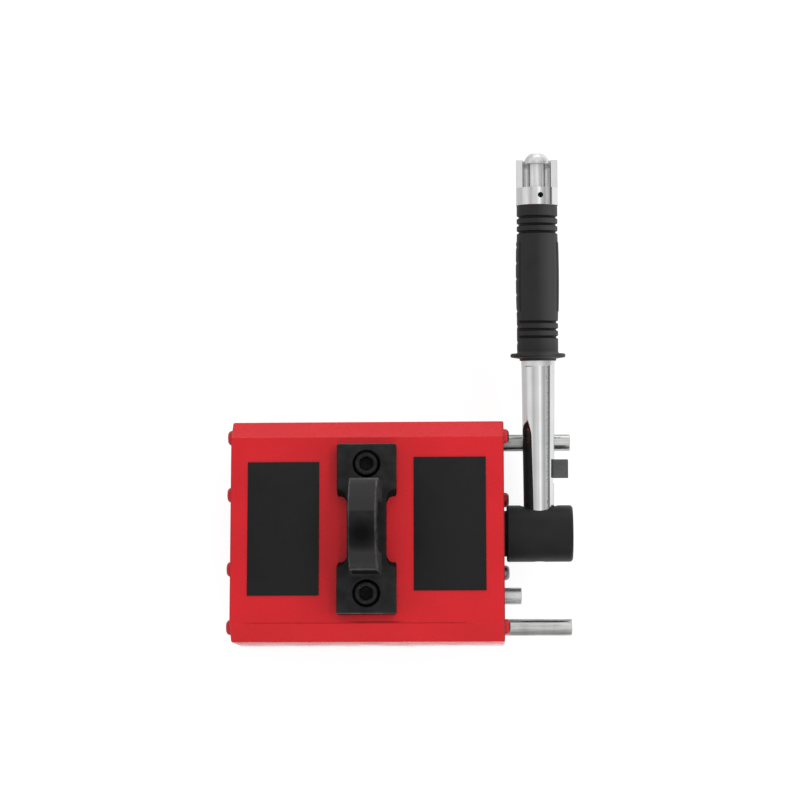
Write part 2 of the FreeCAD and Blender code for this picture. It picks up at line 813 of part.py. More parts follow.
def push_button():
    stem = button_stem_diameter / 2
    rim = button_head_diameter / 2
    flat = button_flat_diameter / 2
    head_start = button_end - button_head_height
    rim_top = head_start + button_rim_round + button_rim_height
    dome = (button_shoulder_diameter / 2, rim_top + button_shoulder_rise)
    corner = button_rim_round * (1 - math.sqrt(0.5))
    rod = (rod_diameter + seat_clearance) / 2
    rod_floor = button_stem_start + rod_thread_length
    return on_handle(turned((rod, button_stem_start), (stem, button_stem_start), (stem, head_start),
                            (rim - button_rim_round, head_start),
                            ((rim - corner, head_start + corner), (rim, head_start + button_rim_round)),
                            (rim, rim_top), (dome, (flat, button_end)), (0, button_end), (0, rod_floor),
                            (rod, rod_floor)))


def push_rod():
    rod = round_bar(rod_diameter, Vector(0, key_station, 0),
                    Vector(0, button_stem_start + rod_thread_length, 0))
    return on_handle(rod.cut(key_pin_bar(seat_clearance)))


def key_pin_bar(extra):
    middle = key_station + key_length / 2
    half = key_thickness / 2
    return round_bar(key_pin_diameter + extra, Vector(0, middle, -half), Vector(0, middle, half))


def latch_key():
    half = key_thickness / 2
    key = block_piece(-key_back, key_reach, key_station, key_station + key_length, -half, half)
    key = key.makeChamfer(key_edge_break, key.Edges)
    rod = round_bar(rod_diameter + seat_clearance, Vector(0, key_station, 0),
                    Vector(0, key_station + key_length, 0))
    return on_handle(key.cut(rod).cut(key_pin_bar(seat_clearance)))


def return_spring():
    """A compression spring between the bar's step and the button's stem."""
    rise = spring_length - spring_wire - 2 * spring_seat_gap
    radius = spring_coil_diameter / 2
    path = Part.makeHelix(rise / spring_turns, rise, radius)
    turns = [k * 2 * math.pi / spring_wire_sides for k in range(spring_wire_sides + 1)]
    corners = [Vector(radius + spring_wire / 2 * math.cos(turn), 0, spring_wire / 2 * math.sin(turn))
               for turn in turns]
    spring = Part.Wire(path).makePipeShell([Part.makePolygon(corners)], True, True)
    spring.rotate(Vector(0, 0, 0), ACROSS_X, -90)
    spring.translate(Vector(0, button_stem_start - spring_length + spring_wire / 2 + spring_seat_gap, 0))
    return on_handle(spring)


pieces = {
    "front_pole_shoe": pole_shoe(-1),
    "back_pole_shoe": pole_shoe(1),
    "top_spacer": top_spacer(),
    "bottom_spacer": bottom_spacer(),
    "fixed_magnets": fixed_magnets(),
    "drive_end_plate": end_plate(1),
    "rear_end_plate": end_plate(-1),
    "drive_plate_screws": plate_screws(1),
    "rear_plate_screws": plate_screws(-1),
    "drive_bush": drive_bush(),
    "rear_bush": rear_bush(),
    "lifting_eye": lifting_eye(),
    "eye_screws": eye_screws(),
    "rotor_front_segment": rotor_segment(-1),
    "rotor_back_segment": rotor_segment(1),
    "rotor_magnets": rotor_magnets(),
    "drive_shaft": drive_shaft(),
    "rear_stub_shaft": rear_stub_shaft(),
    "rotor_screws": rotor_screws(),
    "hub": hub(),
    "hub_set_screw": hub_set_screw(),
    "handle_bar": handle_bar(),
    "grip": grip(),
    "guard_cap": guard_cap(),
    "cap_set_screw": cap_set_screw(),
    "push_button": push_button(),
    "push_rod": push_rod(),
    "latch_key": latch_key(),
    "key_pin": on_handle(key_pin_bar(0)),
    "return_spring": return_spring(),
}
for name, (y, reach) in PINS.items():
    pieces[name] = stop_pin(y, reach)

os.makedirs("parts", exist_ok=True)
for name, shape in pieces.items():
    shape.exportStep(f"parts/{name}.step")
    print(f"{name}: {len(shape.Solids)} solid(s), valid {shape.isValid()}, {shape.Volume / 1000:.2f} cm3")
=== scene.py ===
import json
import math

import bmesh
import bpy
import numpy as np
from mathutils import Euler, Matrix, Vector, noise


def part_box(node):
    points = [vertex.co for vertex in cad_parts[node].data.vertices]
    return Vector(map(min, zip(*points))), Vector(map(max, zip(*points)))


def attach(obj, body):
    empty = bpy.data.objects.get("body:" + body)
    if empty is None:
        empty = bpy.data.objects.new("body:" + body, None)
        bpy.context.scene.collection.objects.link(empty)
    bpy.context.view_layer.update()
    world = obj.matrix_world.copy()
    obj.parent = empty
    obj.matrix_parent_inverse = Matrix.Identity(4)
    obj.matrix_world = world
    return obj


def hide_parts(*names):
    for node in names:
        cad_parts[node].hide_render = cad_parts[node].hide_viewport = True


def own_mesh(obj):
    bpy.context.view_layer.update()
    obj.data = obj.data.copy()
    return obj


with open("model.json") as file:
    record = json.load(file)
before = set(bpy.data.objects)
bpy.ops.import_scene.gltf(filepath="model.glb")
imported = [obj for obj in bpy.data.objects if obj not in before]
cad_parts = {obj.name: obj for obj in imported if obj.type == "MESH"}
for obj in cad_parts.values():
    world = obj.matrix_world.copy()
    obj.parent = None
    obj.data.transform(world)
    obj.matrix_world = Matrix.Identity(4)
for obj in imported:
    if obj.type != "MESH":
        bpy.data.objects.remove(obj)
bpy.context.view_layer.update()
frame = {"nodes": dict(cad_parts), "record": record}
nodes = frame["nodes"]
MM = 0.001


# Magnet block: two steel pole shoes with a spacer between them and a plate screwed on each end.
# It was sprayed red as one piece, so its joints are filled with paint. The pole faces underneath were
# ground afterwards and stay bare steel. The drive plate's outer face is painted black, as painted shade.

def grey(level, blue=None):
    """A grey colour, with its own level of blue where that differs a little."""
    return level, level, level if blue is None else blue, 1.0


paint_red = (0.550, 0.0140, 0.0200, 1.0)
paint_deep_red = (0.490, 0.0120, 0.0170, 1.0)
paint_cloud_size = 45 * MM
paint_gloss_size = paint_cloud_size / 3
paint_gloss = (0.24, 0.31)
cloud_spread = (0.3, 0.7)
paint_peel_size = 1.6 * MM
paint_peel_depth = 0.010 * MM
ground_steel = (0.46, 0.45, 0.43, 1.0)
ground_shade = grey(0.30, 0.29)
ground_line_length = 60 * MM
ground_line_width = 0.35 * MM
ground_facing = -0.74
end_face_shade = grey(0.011)
end_face_shade_from = (0.60, 0.80)
face_gloss = 0.5
shoulder_reflection_red = (0.25, 0.0010, 0.0030, 1.0)
shoulder_reflection_inset = 13 * MM
shoulder_reflection_half_width = 0.7 * MM
shoulder_reflection_strength = 0.8
shoulder_reflection_ends = (-91 * MM, 77 * MM)
shoulder_reflection_fade = 8 * MM
eye_reflection_middle = (6 * MM, 0.6 * MM)
eye_reflection_half = (23 * MM, 1.1 * MM)
eye_reflection_core = (0.6, 0.3)


def add(tree, kind, inputs=None, **settings):
    """Adds a node with its settings. Each input is a plain value, or another node's socket to link."""
    node = tree.nodes.new(kind)
    for key, value in settings.items():
        setattr(node, key, value)
    for key, value in (inputs or {}).items():
        if isinstance(value, bpy.types.NodeSocket):
            tree.links.new(value, node.inputs[key])
        else:
            node.inputs[key].default_value = value
    return node


def new_finish(name, **constants):
    """A new material, its node tree and its main shader with those constant values."""
    material = bpy.data.materials.new(name)
    material.use_nodes = True
    shader = material.node_tree.nodes["Principled BSDF"]
    for key, value in constants.items():
        shader.inputs[key.replace("_", " ")].default_value = value
    return material, material.node_tree, shader


def own_place(tree):
    """The piece's own coordinates, as separate X, Y and Z sockets."""
    place = add(tree, "ShaderNodeTexCoord").outputs["Object"]
    return add(tree, "ShaderNodeSeparateXYZ", {0: place}).outputs


def facing_way(tree):
    """The way that the surface faces, as separate X, Y and Z sockets."""
    way = add(tree, "ShaderNodeNewGeometry").outputs["Normal"]
    return add(tree, "ShaderNodeSeparateXYZ", {0: way}).outputs


def lumps(tree, size, detail=3.0, stretch=(1, 1, 1), turn=(0, 0, 0)):
    """Cloud noise on the piece's own coordinates, with lumps of that size in metres."""
    place = add(tree, "ShaderNodeTexCoord").outputs["Object"]
    place = add(tree, "ShaderNodeMapping", {"Vector": place, "Rotation": turn}).outputs[0]
    place = add(tree, "ShaderNodeMapping", {"Vector": place, "Scale": [s / size for s in stretch]}).outputs[0]
    return add(tree, "ShaderNodeTexNoise", {"Vector": place, "Scale": 1.0, "Detail": detail}).outputs[0]


def ranged(value, low, high, first=0.0, last=1.0):
    """Carries a socket's value from its range to another one, and stops at the ends."""
    ends = {"From Min": low, "From Max": high, "To Min": first, "To Max": last}
    return add(value.id_data, "ShaderNodeMapRange", {"Value": value, **ends}).outputs[0]


def combined(operation, *values):
    """One sum, such as ADD or MULTIPLY, on plain values and sockets, in the sockets' own tree."""
    tree = next(value.id_data for value in values if isinstance(value, bpy.types.NodeSocket))
    return add(tree, "ShaderNodeMath", dict(enumerate(values)), operation=operation).outputs[0]


def product(*values):
    """Values or sockets multiplied together, in order."""
    total = values[0]
    for value in values[1:]:
        total = combined("MULTIPLY", total, value)
    return total


def minus(first, second):
    """The first value or socket less the second."""
    return combined("SUBTRACT", first, second)


def distance(value, middle):
    """How far a value lies from a middle one, either way."""
    return combined("ABSOLUTE", minus(value, middle))


def clouded(tree, size, detail=3.0, first=0.0, last=1.0):
    """Soft clouds of that size, spread from the first value to the last."""
    return ranged(lumps(tree, size, detail), *cloud_spread, first, last)


def blended(share, first, second):
    """A colour between two, by a share from 0 to 1."""
    mix = add(share.id_data, "ShaderNodeMix", {0: share, 6: first, 7: second}, data_type="RGBA")
    return mix.outputs[2]


def layered(colour, *layers):
    """A colour with other ones laid over it in order, each by its share."""
    for share, tint in layers:
        colour = blended(share, colour, tint)
    return colour


def set_surface(shader, colour, roughness):
    """Links a shader's colour and roughness."""
    shader.id_data.links.new(colour, shader.inputs["Base Color"])
    shader.id_data.links.new(roughness, shader.inputs["Roughness"])


def set_skin(shader, height, depth):
    """Gives a surface fine relief of that depth in metres."""
    bump = {"Height": height, "Distance": depth, "Strength": 1.0}
    bump = add(shader.id_data, "ShaderNodeBump", bump).outputs[0]
    shader.id_data.links.new(bump, shader.inputs["Normal"])


def dress(finish, *names):
    """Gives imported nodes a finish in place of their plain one."""
    for name in names:
        for slot in nodes[name].material_slots:
            slot.material = finish


def red_coat(tree):
    """The colour of the sprayed red paint, a little cloudy."""
    return blended(clouded(tree, paint_cloud_size), paint_red, paint_deep_red)


def paint_block(name, black_face):
    """Red paint with ground steel below. A thin dark line along the front shoulder, wider below the eye, is a
    painted reflection of the eye and its surroundings in the rounded edge.
    """
    material, tree, shader = new_finish(name, Specular_IOR_Level=0.22)
    place = own_place(tree)
    facing = facing_way(tree)
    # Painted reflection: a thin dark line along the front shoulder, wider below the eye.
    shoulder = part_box("front_pole_shoe")[0].y + shoulder_reflection_inset
    behind = minus(place["Y"], shoulder)
    shoulder_reflection = ranged(combined("ABSOLUTE", behind), 0.0, shoulder_reflection_half_width, shoulder_reflection_strength, 0.0)
    for end, fade in zip(shoulder_reflection_ends, (shoulder_reflection_fade, -shoulder_reflection_fade)):
        shoulder_reflection = product(shoulder_reflection, ranged(place["X"], end, end + fade))
    along = distance(place["X"], eye_reflection_middle[0])
    across = distance(behind, eye_reflection_middle[1])
    eye_reflection = product(ranged(across, eye_reflection_core[1] * eye_reflection_half[1], eye_reflection_half[1], 1.0, 0.0),
                  ranged(along, eye_reflection_core[0] * eye_reflection_half[0], eye_reflection_half[0], 1.0, 0.0))
    shoulder_reflection = combined("MAXIMUM", shoulder_reflection, eye_reflection)
    ground = combined("LESS_THAN", facing["Z"], ground_facing)
    lines = lumps(tree, ground_line_width, 2.0, (ground_line_width / ground_line_length, 1, 1))
    steel = blended(lines, ground_steel, ground_shade)
    colour = layered(red_coat(tree), (shoulder_reflection, shoulder_reflection_red), (ground, steel))
    gloss = clouded(tree, paint_gloss_size, 3.0, *paint_gloss)
    # Painted shade: the drive plate's outer face is painted black.
    if black_face:
        outer = ranged(facing["X"], *end_face_shade_from)
        colour = blended(outer, colour, end_face_shade)
        gloss = combined("MAXIMUM", gloss, product(outer, face_gloss))
    set_surface(shader, colour, gloss)
    tree.links.new(ground, shader.inputs["Metallic"])
    set_skin(shader, lumps(tree, paint_peel_size, 1.0), paint_peel_depth)
    return material


dress(paint_block("block_paint", False), "front_pole_shoe", "back_pole_shoe", "top_spacer", "rear_end_plate")
dress(paint_block("drive_plate_paint", True), "drive_end_plate")


# Bottom spacer and fixed magnets: a milled brass bar closes the groove between the pole faces, and
# nickel-plated magnet blocks lie on it, under the rotor.
brass = ((0.60, 0.43, 0.19, 1.0), (0.46, 0.31, 0.12, 1.0))
nickel = ((0.56, 0.55, 0.52, 1.0), (0.46, 0.45, 0.43, 1.0))
metal_cloud_size = 12 * MM
metal_spread = (0.35, 0.65)


def mean(first, second):
    return product(combined("ADD", first, second), 0.5)


def worked_metal(name, colours, line_width, gloss, stretch=(1, 1, 1), depth=0.010 * MM, metal=1.0,
                 oiled_to=None):
    """Bare metal in a colour and its shade, with tool lines: stretch gives their run along each axis, in
    line widths. Where oiled_to is given, the piece is painted darker up to that place along X, as painted
    shade."""
    material, tree, shader = new_finish(name, Metallic=metal)
    lines = lumps(tree, line_width, 2.0, [1 / run for run in stretch])
    tone = mean(lines, lumps(tree, metal_cloud_size))
    colour = blended(ranged(tone, *metal_spread), *colours)
    if oiled_to is not None:
        # Painted shade: darker up to oiled_to.
        bar_shade = ranged(own_place(tree)["X"], oiled_to, oiled_to + bar_shade_fade, bar_shade_strength, 0.0)
        colour = blended(bar_shade, colour, bar_shade_dark)
    set_surface(shader, colour, ranged(tone, *metal_spread, *gloss))
    set_skin(shader, lines, depth)
    return material


dress(worked_metal("milled_brass", brass, line_width=0.5 * MM, gloss=(0.30, 0.42), stretch=(40, 1, 1)),
      "bottom_spacer")
dress(worked_metal("magnet_nickel", nickel, line_width=2 * MM, gloss=(0.24, 0.34)),
      "fixed_magnets", "rotor_magnets")


# Rotor, shafts and bushes: machined steel segments and discs turn with the handle in dark sintered
# bushes, whose oil keeps them nearly black. Black cap screws hold the discs.
machined_steel = (grey(0.50), grey(0.38))
bush_iron = ((0.045, 0.044, 0.042, 1.0), grey(0.020))
black_oxide = (grey(0.020, 0.021), grey(0.010, 0.011))
dress(worked_metal("rotor_steel_finish", machined_steel, line_width=0.4 * MM, gloss=(0.26, 0.38),
                   stretch=(1, 12, 12)),
      "rotor_front_segment", "rotor_back_segment", "drive_shaft", "rear_stub_shaft", "push_rod")
dress(worked_metal("bush_finish", bush_iron, line_width=0.6 * MM, gloss=(0.50, 0.62)),
      "drive_bush", "rear_bush")
dress(worked_metal("rotor_screw_finish", black_oxide, line_width=0.5 * MM, gloss=(0.40, 0.50)),
      "rotor_screws")


# End plate screws: four button-head screws on each plate, sprayed over with the block, so the paint
# rounds their heads and half fills their sockets. On the drive end their outward faces are painted black,
# as painted shade, and one head has lost its paint.
plate_head_radius = 5.6 * MM
plate_head_height = 4.0 * MM
plate_head_rim = 0.8 * MM
plate_head_flat = 2.7 * MM
plate_socket_across = 4.0 * MM
plate_socket_depth = 1.5 * MM
plate_shank_radius = 3.0 * MM
plate_shank_length = 20 * MM
plate_socket_lip = 0.15 * MM
plate_socket_narrow = 0.9
plate_socket_cone = (1.15, 0.5)
plate_head_steps = 8
plate_screw_sides = 48
screw_row_gap = 4 * MM
worn_steel = grey(0.30)
worn_screws = {1: 1.0}
worn_patch_size = 3 * MM
worn_edge = (0.90, 1.05)
worn_gloss = (0.28, 0.42)
head_shade_from = (0.55, 0.70)


def six_sided(across):
    """A radius rule for a hexagon of that width over its flats."""
    def radius(turn):
        return across / 2 / math.cos((turn + math.pi / 6) % (math.pi / 3) - math.pi / 6)
    return radius


def ringed(name, rings, sides):
    """A closed mesh about +Z from rings of a height and a radius, or a radius rule by angle."""
    work = bmesh.new()
    turns = [2 * math.pi * k / sides for k in range(sides)]
    loops = []
    for height, rule in rings:
        radii = [rule(turn) if callable(rule) else rule for turn in turns]
        loops.append([work.verts.new((radius * math.cos(turn), radius * math.sin(turn), height))
                      for radius, turn in zip(radii, turns)])
    for low, high in zip(loops, loops[1:]):
        for k in range(sides):
            work.faces.new((low[k - 1], low[k], high[k], high[k - 1]))
    for loop in (loops[0], loops[-1]):
        pole = work.verts.new(sum((v.co for v in loop), Vector()) / sides)
        for k in range(sides):
            work.faces.new((loop[k - 1], loop[k], pole))
    bmesh.ops.recalc_face_normals(work, faces=work.faces)
    mesh = bpy.data.meshes.new(name)
    work.to_mesh(mesh)
    work.free()
    return mesh


def new_piece(name, data):
    piece = bpy.data.objects.new(name, data)
    bpy.context.scene.collection.objects.link(piece)
    return piece


def settle(piece):
    """Makes the result of a piece's modifiers its plain mesh."""
    depsgraph = bpy.context.evaluated_depsgraph_get()
    piece.data = bpy.data.meshes.new_from_object(piece.evaluated_get(depsgraph))
    piece.modifiers.clear()


def shade_smooth(mesh, angle):
    """Smooth shading, with edges sharper than the angle in degrees kept crisp."""
    mesh.shade_smooth()
    mesh.set_sharp_from_angle(angle=math.radians(angle))


def new_tree(name, **kinds):
    """A geometry tree with named inputs, and its input and output nodes."""
    tree = bpy.data.node_groups.new(name, "GeometryNodeTree")
    for side in ("INPUT", "OUTPUT"):
        tree.interface.new_socket("Geometry", in_out=side, socket_type="NodeSocketGeometry")
    for label, kind in kinds.items():
        tree.interface.new_socket(label.replace("_", " "), in_out="INPUT", socket_type="NodeSocket" + kind)
    return tree, tree.nodes.new("NodeGroupInput").outputs, tree.nodes.new("NodeGroupOutput")


def work_tree(piece, tree, **values):
    """Runs a geometry tree on a piece with those inputs, and keeps the result as its mesh."""
    modifier = piece.modifiers.new(tree.name, "NODES")
    modifier.node_group = tree
    for item in tree.interface.items_tree:
        label = item.name.replace(" ", "_")
        if item.in_out == "INPUT" and label in values:
            modifier[item.identifier] = values[label]
    settle(piece)


def end_tree(tree, shape, finish, result):
    """Ends a geometry tree: its copies become real and get their finish."""
    shape = add(tree, "GeometryNodeRealizeInstances", {0: shape}).outputs[0]
    shape = add(tree, "GeometryNodeSetMaterial", {"Geometry": shape, "Material": finish}).outputs[0]
    tree.links.new(shape, result.inputs[0])


def screw_driver():
    """A tree that sets one screw at each point, turned the same way."""
    tree, given, result = new_tree("set_screws", Screw="Object", Turn="Rotation", Finish="Material")
    screw = add(tree, "GeometryNodeObjectInfo", {"Object": given["Screw"]}).outputs["Geometry"]
    spread = {"Points": given["Geometry"], "Instance": screw, "Rotation": given["Turn"]}
    spread = add(tree, "GeometryNodeInstanceOnPoints", spread).outputs[0]
    end_tree(tree, spread, given["Finish"], result)
    return tree


def set_screws(name, template, places, turn, finish, **marks):
    """A piece with one copy of a screw mesh at each place. Each mark is a list with a value per screw."""
    points = bpy.data.meshes.new(name)
    points.from_pydata(places, [], [])
    for label, values in marks.items():
        points.attributes.new(label, "FLOAT", "POINT").data.foreach_set("value", values)
    piece = new_piece(name, points)
    screw = new_piece(name + "_one", template)
    work_tree(piece, set_screws_tree, Screw=screw, Turn=turn, Finish=finish)
    bpy.data.objects.remove(screw)
    return piece


def screw_rows(name):
    """The middle (y, z) of each screw of a packed row, from the gaps between them along Y."""
    spots = np.array([vertex.co for vertex in nodes[name].data.vertices])
    spots = spots[np.argsort(spots[:, 1])]
    rows = np.split(spots, np.nonzero(np.diff(spots[:, 1]) > screw_row_gap)[0] + 1)
    return [(row[:, 1:].min(axis=0) + row[:, 1:].max(axis=0)) / 2 for row in rows]


def plate_screw_mesh():
    rings = [(-plate_shank_length, plate_shank_radius), (0.0, plate_shank_radius), (0.0, plate_head_radius),
             (plate_head_rim, plate_head_radius)]
    top = plate_head_height
    rise = top - plate_head_rim
    deeper, narrower = plate_socket_cone
    for k in range(1, plate_head_steps):
        lean = math.radians(90 * k / plate_head_steps)
        radius = plate_head_flat + (plate_head_radius - plate_head_flat) * math.cos(lean)
        rings.append((plate_head_rim + rise * math.sin(lean), radius))
    rings += [(top, plate_head_flat),
              (top - plate_socket_lip, six_sided(plate_socket_across)),
              (top - plate_socket_depth, six_sided(plate_socket_narrow * plate_socket_across)),
              (top - deeper * plate_socket_depth, narrower * plate_socket_across / 2)]
    return ringed("plate_screw", rings, plate_screw_sides)


def screw_paint():
    """Red paint that has come off where the point mark says so, with ragged edges. Where it faces +X it is
    painted black, as painted shade.
    """
    material, tree, shader = new_finish("screw_paint", Specular_IOR_Level=0.30)
    lost = add(tree, "ShaderNodeAttribute", attribute_name="bare").outputs["Fac"]
    ragged = combined("ADD", lost, lumps(tree, worn_patch_size, 4.0))
    bare = ranged(ragged, *worn_edge)
    # Painted shade: sides that face +X are painted black.
    shaded_side = ranged(facing_way(tree)["X"], *head_shade_from)
    colour = layered(red_coat(tree), (shaded_side, end_face_shade), (bare, worn_steel))
    set_surface(shader, colour, ranged(bare, 0.0, 1.0, *worn_gloss))
    tree.links.new(bare, shader.inputs["Metallic"])
    set_skin(shader, lumps(tree, paint_peel_size, 1.0), paint_peel_depth)
    return material


set_screws_tree = screw_driver()
plate_screw = plate_screw_mesh()
shade_smooth(plate_screw, 50)
plate_screw_paint = screw_paint()
for end, side in (("drive", 1), ("rear", -1)):
    node = end + "_plate_screws"
    face = side * max(abs(corner.x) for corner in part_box(end + "_end_plate"))
    rows = screw_rows(node)
    bare = [worn_screws.get(k, 0.0) if side > 0 else 0.0 for k in range(len(rows))]
    screws = set_screws(end + "_painted_screws", plate_screw, [(face, y, z) for y, z in rows],
                        Euler((0, side * math.pi / 2, 0)), plate_screw_paint, bare=bare)
    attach(screws, "block")
    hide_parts(node)


# Lifting eye: a steel casting with two screwed pads, a waist and a strap arch for the hook. It has a
# thin satin black coat over the rough cast skin, rubbed on its edges. Its edges carry painted highlights,
# its crown a painted reflection, and its waist and legs' ends painted shade.
eye_voxel = 0.75 * MM
eye_soften = 3
eye_skin_size = 5 * MM
eye_skin_depth = 0.10 * MM
eye_flank_depth = 0.35 * MM
eye_flank_from = 1 * MM
eye_flank_facing = 0.7
eye_grain_size = 0.9 * MM
eye_grain_depth = 0.03 * MM
eye_cloud_size = 9 * MM
eye_blotch_size = 3 * MM
eye_blotch_spread = (0.30, 0.75)
eye_wear_and_highlight_size = 7 * MM
eye_wear_and_highlight = (0.15, 0.65)
eye_gloss = (0.40, 0.50)
eye_black = grey(0.0225, 0.0226)
eye_dark = grey(0.0125, 0.0126)
eye_crown_sheen = grey(0.0280)
eye_darkest = grey(0.0030)
eye_rubbed_highlight = grey(0.17)
eye_flank_grey = (0.046, 0.044, 0.046, 1.0)
eye_shaded = grey(0.0060, 0.0062)
eye_pad_rise = 10 * MM
eye_crown_from = 50 * MM
eye_crown_fade = 22 * MM
eye_waist = (26 * MM, 33 * MM)
eye_waist_rise = (0.5 * MM, 3 * MM)
eye_waist_shade = 0.35
eye_wall_end = (34 * MM, 36 * MM)
eye_wall_drop = (0.3 * MM, 1.5 * MM)
eye_wall_shade = 0.95
eye_band_front = -22 * MM
eye_band_back = 7 * MM
eye_band_fade = (5 * MM, 1.2 * MM)
eye_band_strength = 0.25
eye_mark_place = -9.5 * MM
eye_mark_half = (12.0 * MM, 10.5 * MM)
eye_mark_fade = (0.35, 1.25)
eye_mark_dulling = 0.12
eye_leg_end_facing = (0.975, 0.992)
eye_steep_facing = (0.55, 0.30)
edge_facing = ((0.15, 0.40, 0.75, 0.92), (0.0, 1.0, 1.0, 0.0))
edge_upward = 0.05
strap_from = 5 * MM
strap_wear_and_highlight = ((-15 * MM, 25 * MM), (0.45, 0.90))
strap_back_facing = ((0.90, 0.935, 0.965, 0.98), (0.0, 0.8, 0.8, 0.0))
strap_front_facing = ((0.955, 0.97, 0.985, 0.995), (0.0, 0.6, 0.6, 0.0))
strap_end_across = 0.25
pad_end_width = 2 * MM
merge_gap = 0.002 * MM


def merged_copy(node, name):
    """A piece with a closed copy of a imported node's loose triangles."""
    mesh = nodes[node].data.copy()
    work = bmesh.new()
    work.from_mesh(mesh)
    bmesh.ops.remove_doubles(work, verts=work.verts, dist=merge_gap)
    work.to_mesh(mesh)
    work.free()
    return new_piece(name, mesh)


def vertex_values(mesh):
    """The places and normals of a mesh's points."""
    places = np.empty(len(mesh.vertices) * 3)
    mesh.vertices.foreach_get("co", places)
    normals = np.empty(len(mesh.vertices) * 3)
    mesh.vertex_normals.foreach_get("vector", normals)
    return places.reshape(-1, 3), normals.reshape(-1, 3)


def mark_edges(mesh):
    """Marks the strap's rounded edges and ends and the pads' end edges, as an attribute called edge, for wear
    and painted highlights.
    """
    places, normals = vertex_values(mesh)
    across, along, _ = np.abs(normals).T
    strap = np.interp(across, *edge_facing) * np.interp(places[:, 1], *strap_wear_and_highlight)
    # Painted highlights: the strap's end bands, where its ends turn steep, and the pads' end edges.
    back_end = np.interp(normals[:, 1], *strap_back_facing)
    front_end = np.interp(-normals[:, 1], *strap_front_facing)
    ends = np.maximum(back_end, front_end) * (across < strap_end_across)
    strap = np.maximum(strap, ends) * (places[:, 2] > eye_pad_top + strap_from)
    pad_end = np.abs(places[:, 1]) > np.abs(places[:, 1]).max() - pad_end_width
    edge = np.maximum(strap, np.interp(along, *edge_facing) * pad_end)
    edge *= normals[:, 2] > edge_upward
    mesh.attributes.new("edge", "FLOAT", "POINT").data.foreach_set("value", edge)


def roughen(mesh, size, depth):
    """Moves each point along its normal by smooth noise, up to that depth by place and normal."""
    places, normals = vertex_values(mesh)
    steps = [noise.fractal(Vector(place) / size, 1.0, 2.0, 3) for place in places]
    places += normals * (np.array(steps) * depth(places, normals))[:, None]
    mesh.vertices.foreach_set("co", places.ravel())
    mesh.update()


def cast_depth(places, normals):
    """The arch's flanks were left rougher than the pads and the strap's back."""
    flank = (np.abs(normals[:, 0]) > eye_flank_facing) & (places[:, 2] > eye_pad_top + eye_flank_from)
    return np.where(flank, eye_flank_depth, eye_skin_depth)


def radius_of(across, along):
    """How far a point lies from a middle, from its distances across and along."""
    squares = [product(part, part) for part in (across, along)]
    return combined("SQRT", combined("ADD", *squares))


def eye_coat():
    """Black coat with grey blotches on steep faces and a darker, rougher oval on the crown. The crown is
    painted lighter with a darker band across it, as painted reflection. Painted shade darkens the waist, its
    walls and the legs' ends, and the rubbed edges are painted lighter, as wear and painted highlight."""
    material, tree, shader = new_finish("eye_coat", Specular_IOR_Level=0.05)
    place = own_place(tree)
    facing = facing_way(tree)
    from_middle = combined("ABSOLUTE", place["Y"])
    clouds = clouded(tree, eye_cloud_size, 4.0)
    # Painted reflection: the crown is painted lighter, with a darker band across it.
    crown = eye_top - eye_rise + eye_crown_from
    on_crown = ranged(place["Z"], crown - eye_crown_fade, crown)
    front_fade, back_fade = eye_band_fade
    crown_band = product(ranged(place["Y"], eye_band_front, eye_band_front + front_fade),
                      ranged(place["Y"], eye_band_back - back_fade, eye_band_back, 1.0, 0.0),
                      on_crown)
    crown_sheen = product(on_crown, minus(1.0, crown_band))
    across = combined("DIVIDE", place["X"], eye_mark_half[0])
    along = minus(place["Y"], eye_mark_place)
    reach = radius_of(across, combined("DIVIDE", along, eye_mark_half[1]))
    mark = product(ranged(reach, *eye_mark_fade, 1.0, 0.0), on_crown)
    # Painted shade: the waist and its walls are painted darker.
    above_pads = [eye_pad_top + rise for rise in eye_waist_rise]
    waist = product(ranged(from_middle, *eye_waist, eye_waist_shade, 0.0),
                    ranged(place["Z"], *above_pads, 1.0, 0.0))
    below_pads = [eye_pad_top - drop for drop in eye_wall_drop]
    waist_wall = product(ranged(from_middle, *eye_wall_end, 1.0, 0.0),
                         ranged(place["Z"], *below_pads, 0.0, eye_wall_shade))
    steep = ranged(combined("ABSOLUTE", facing["Z"]), *eye_steep_facing)
    blotches = product(steep, ranged(lumps(tree, eye_blotch_size, 4.0), *eye_blotch_spread))
    # Painted shade: the legs' steep ends are painted darker.
    leg_end = ranged(combined("ABSOLUTE", facing["Y"]), *eye_leg_end_facing)
    edge = add(tree, "ShaderNodeAttribute", attribute_name="edge").outputs["Fac"]
    # The rubbed edges are also painted lighter, as painted highlights.
    wear_and_highlight = product(edge, clouded(tree, eye_wear_and_highlight_size, 3.0, *eye_wear_and_highlight))
    colour = layered(blended(clouds, eye_black, eye_dark), (crown_sheen, eye_crown_sheen),
                     (product(crown_band, eye_band_strength), eye_darkest), (mark, eye_darkest),
                     (waist, eye_shaded), (blotches, eye_flank_grey), (waist_wall, eye_shaded),
                     (leg_end, eye_shaded), (wear_and_highlight, eye_rubbed_highlight))
    rough = combined("ADD", ranged(clouds, 0.0, 1.0, *eye_gloss), product(mark, eye_mark_dulling))
    set_surface(shader, colour, combined("MAXIMUM", rough, steep))
    set_skin(shader, lumps(tree, eye_grain_size, 3.0), eye_grain_depth)
    return material


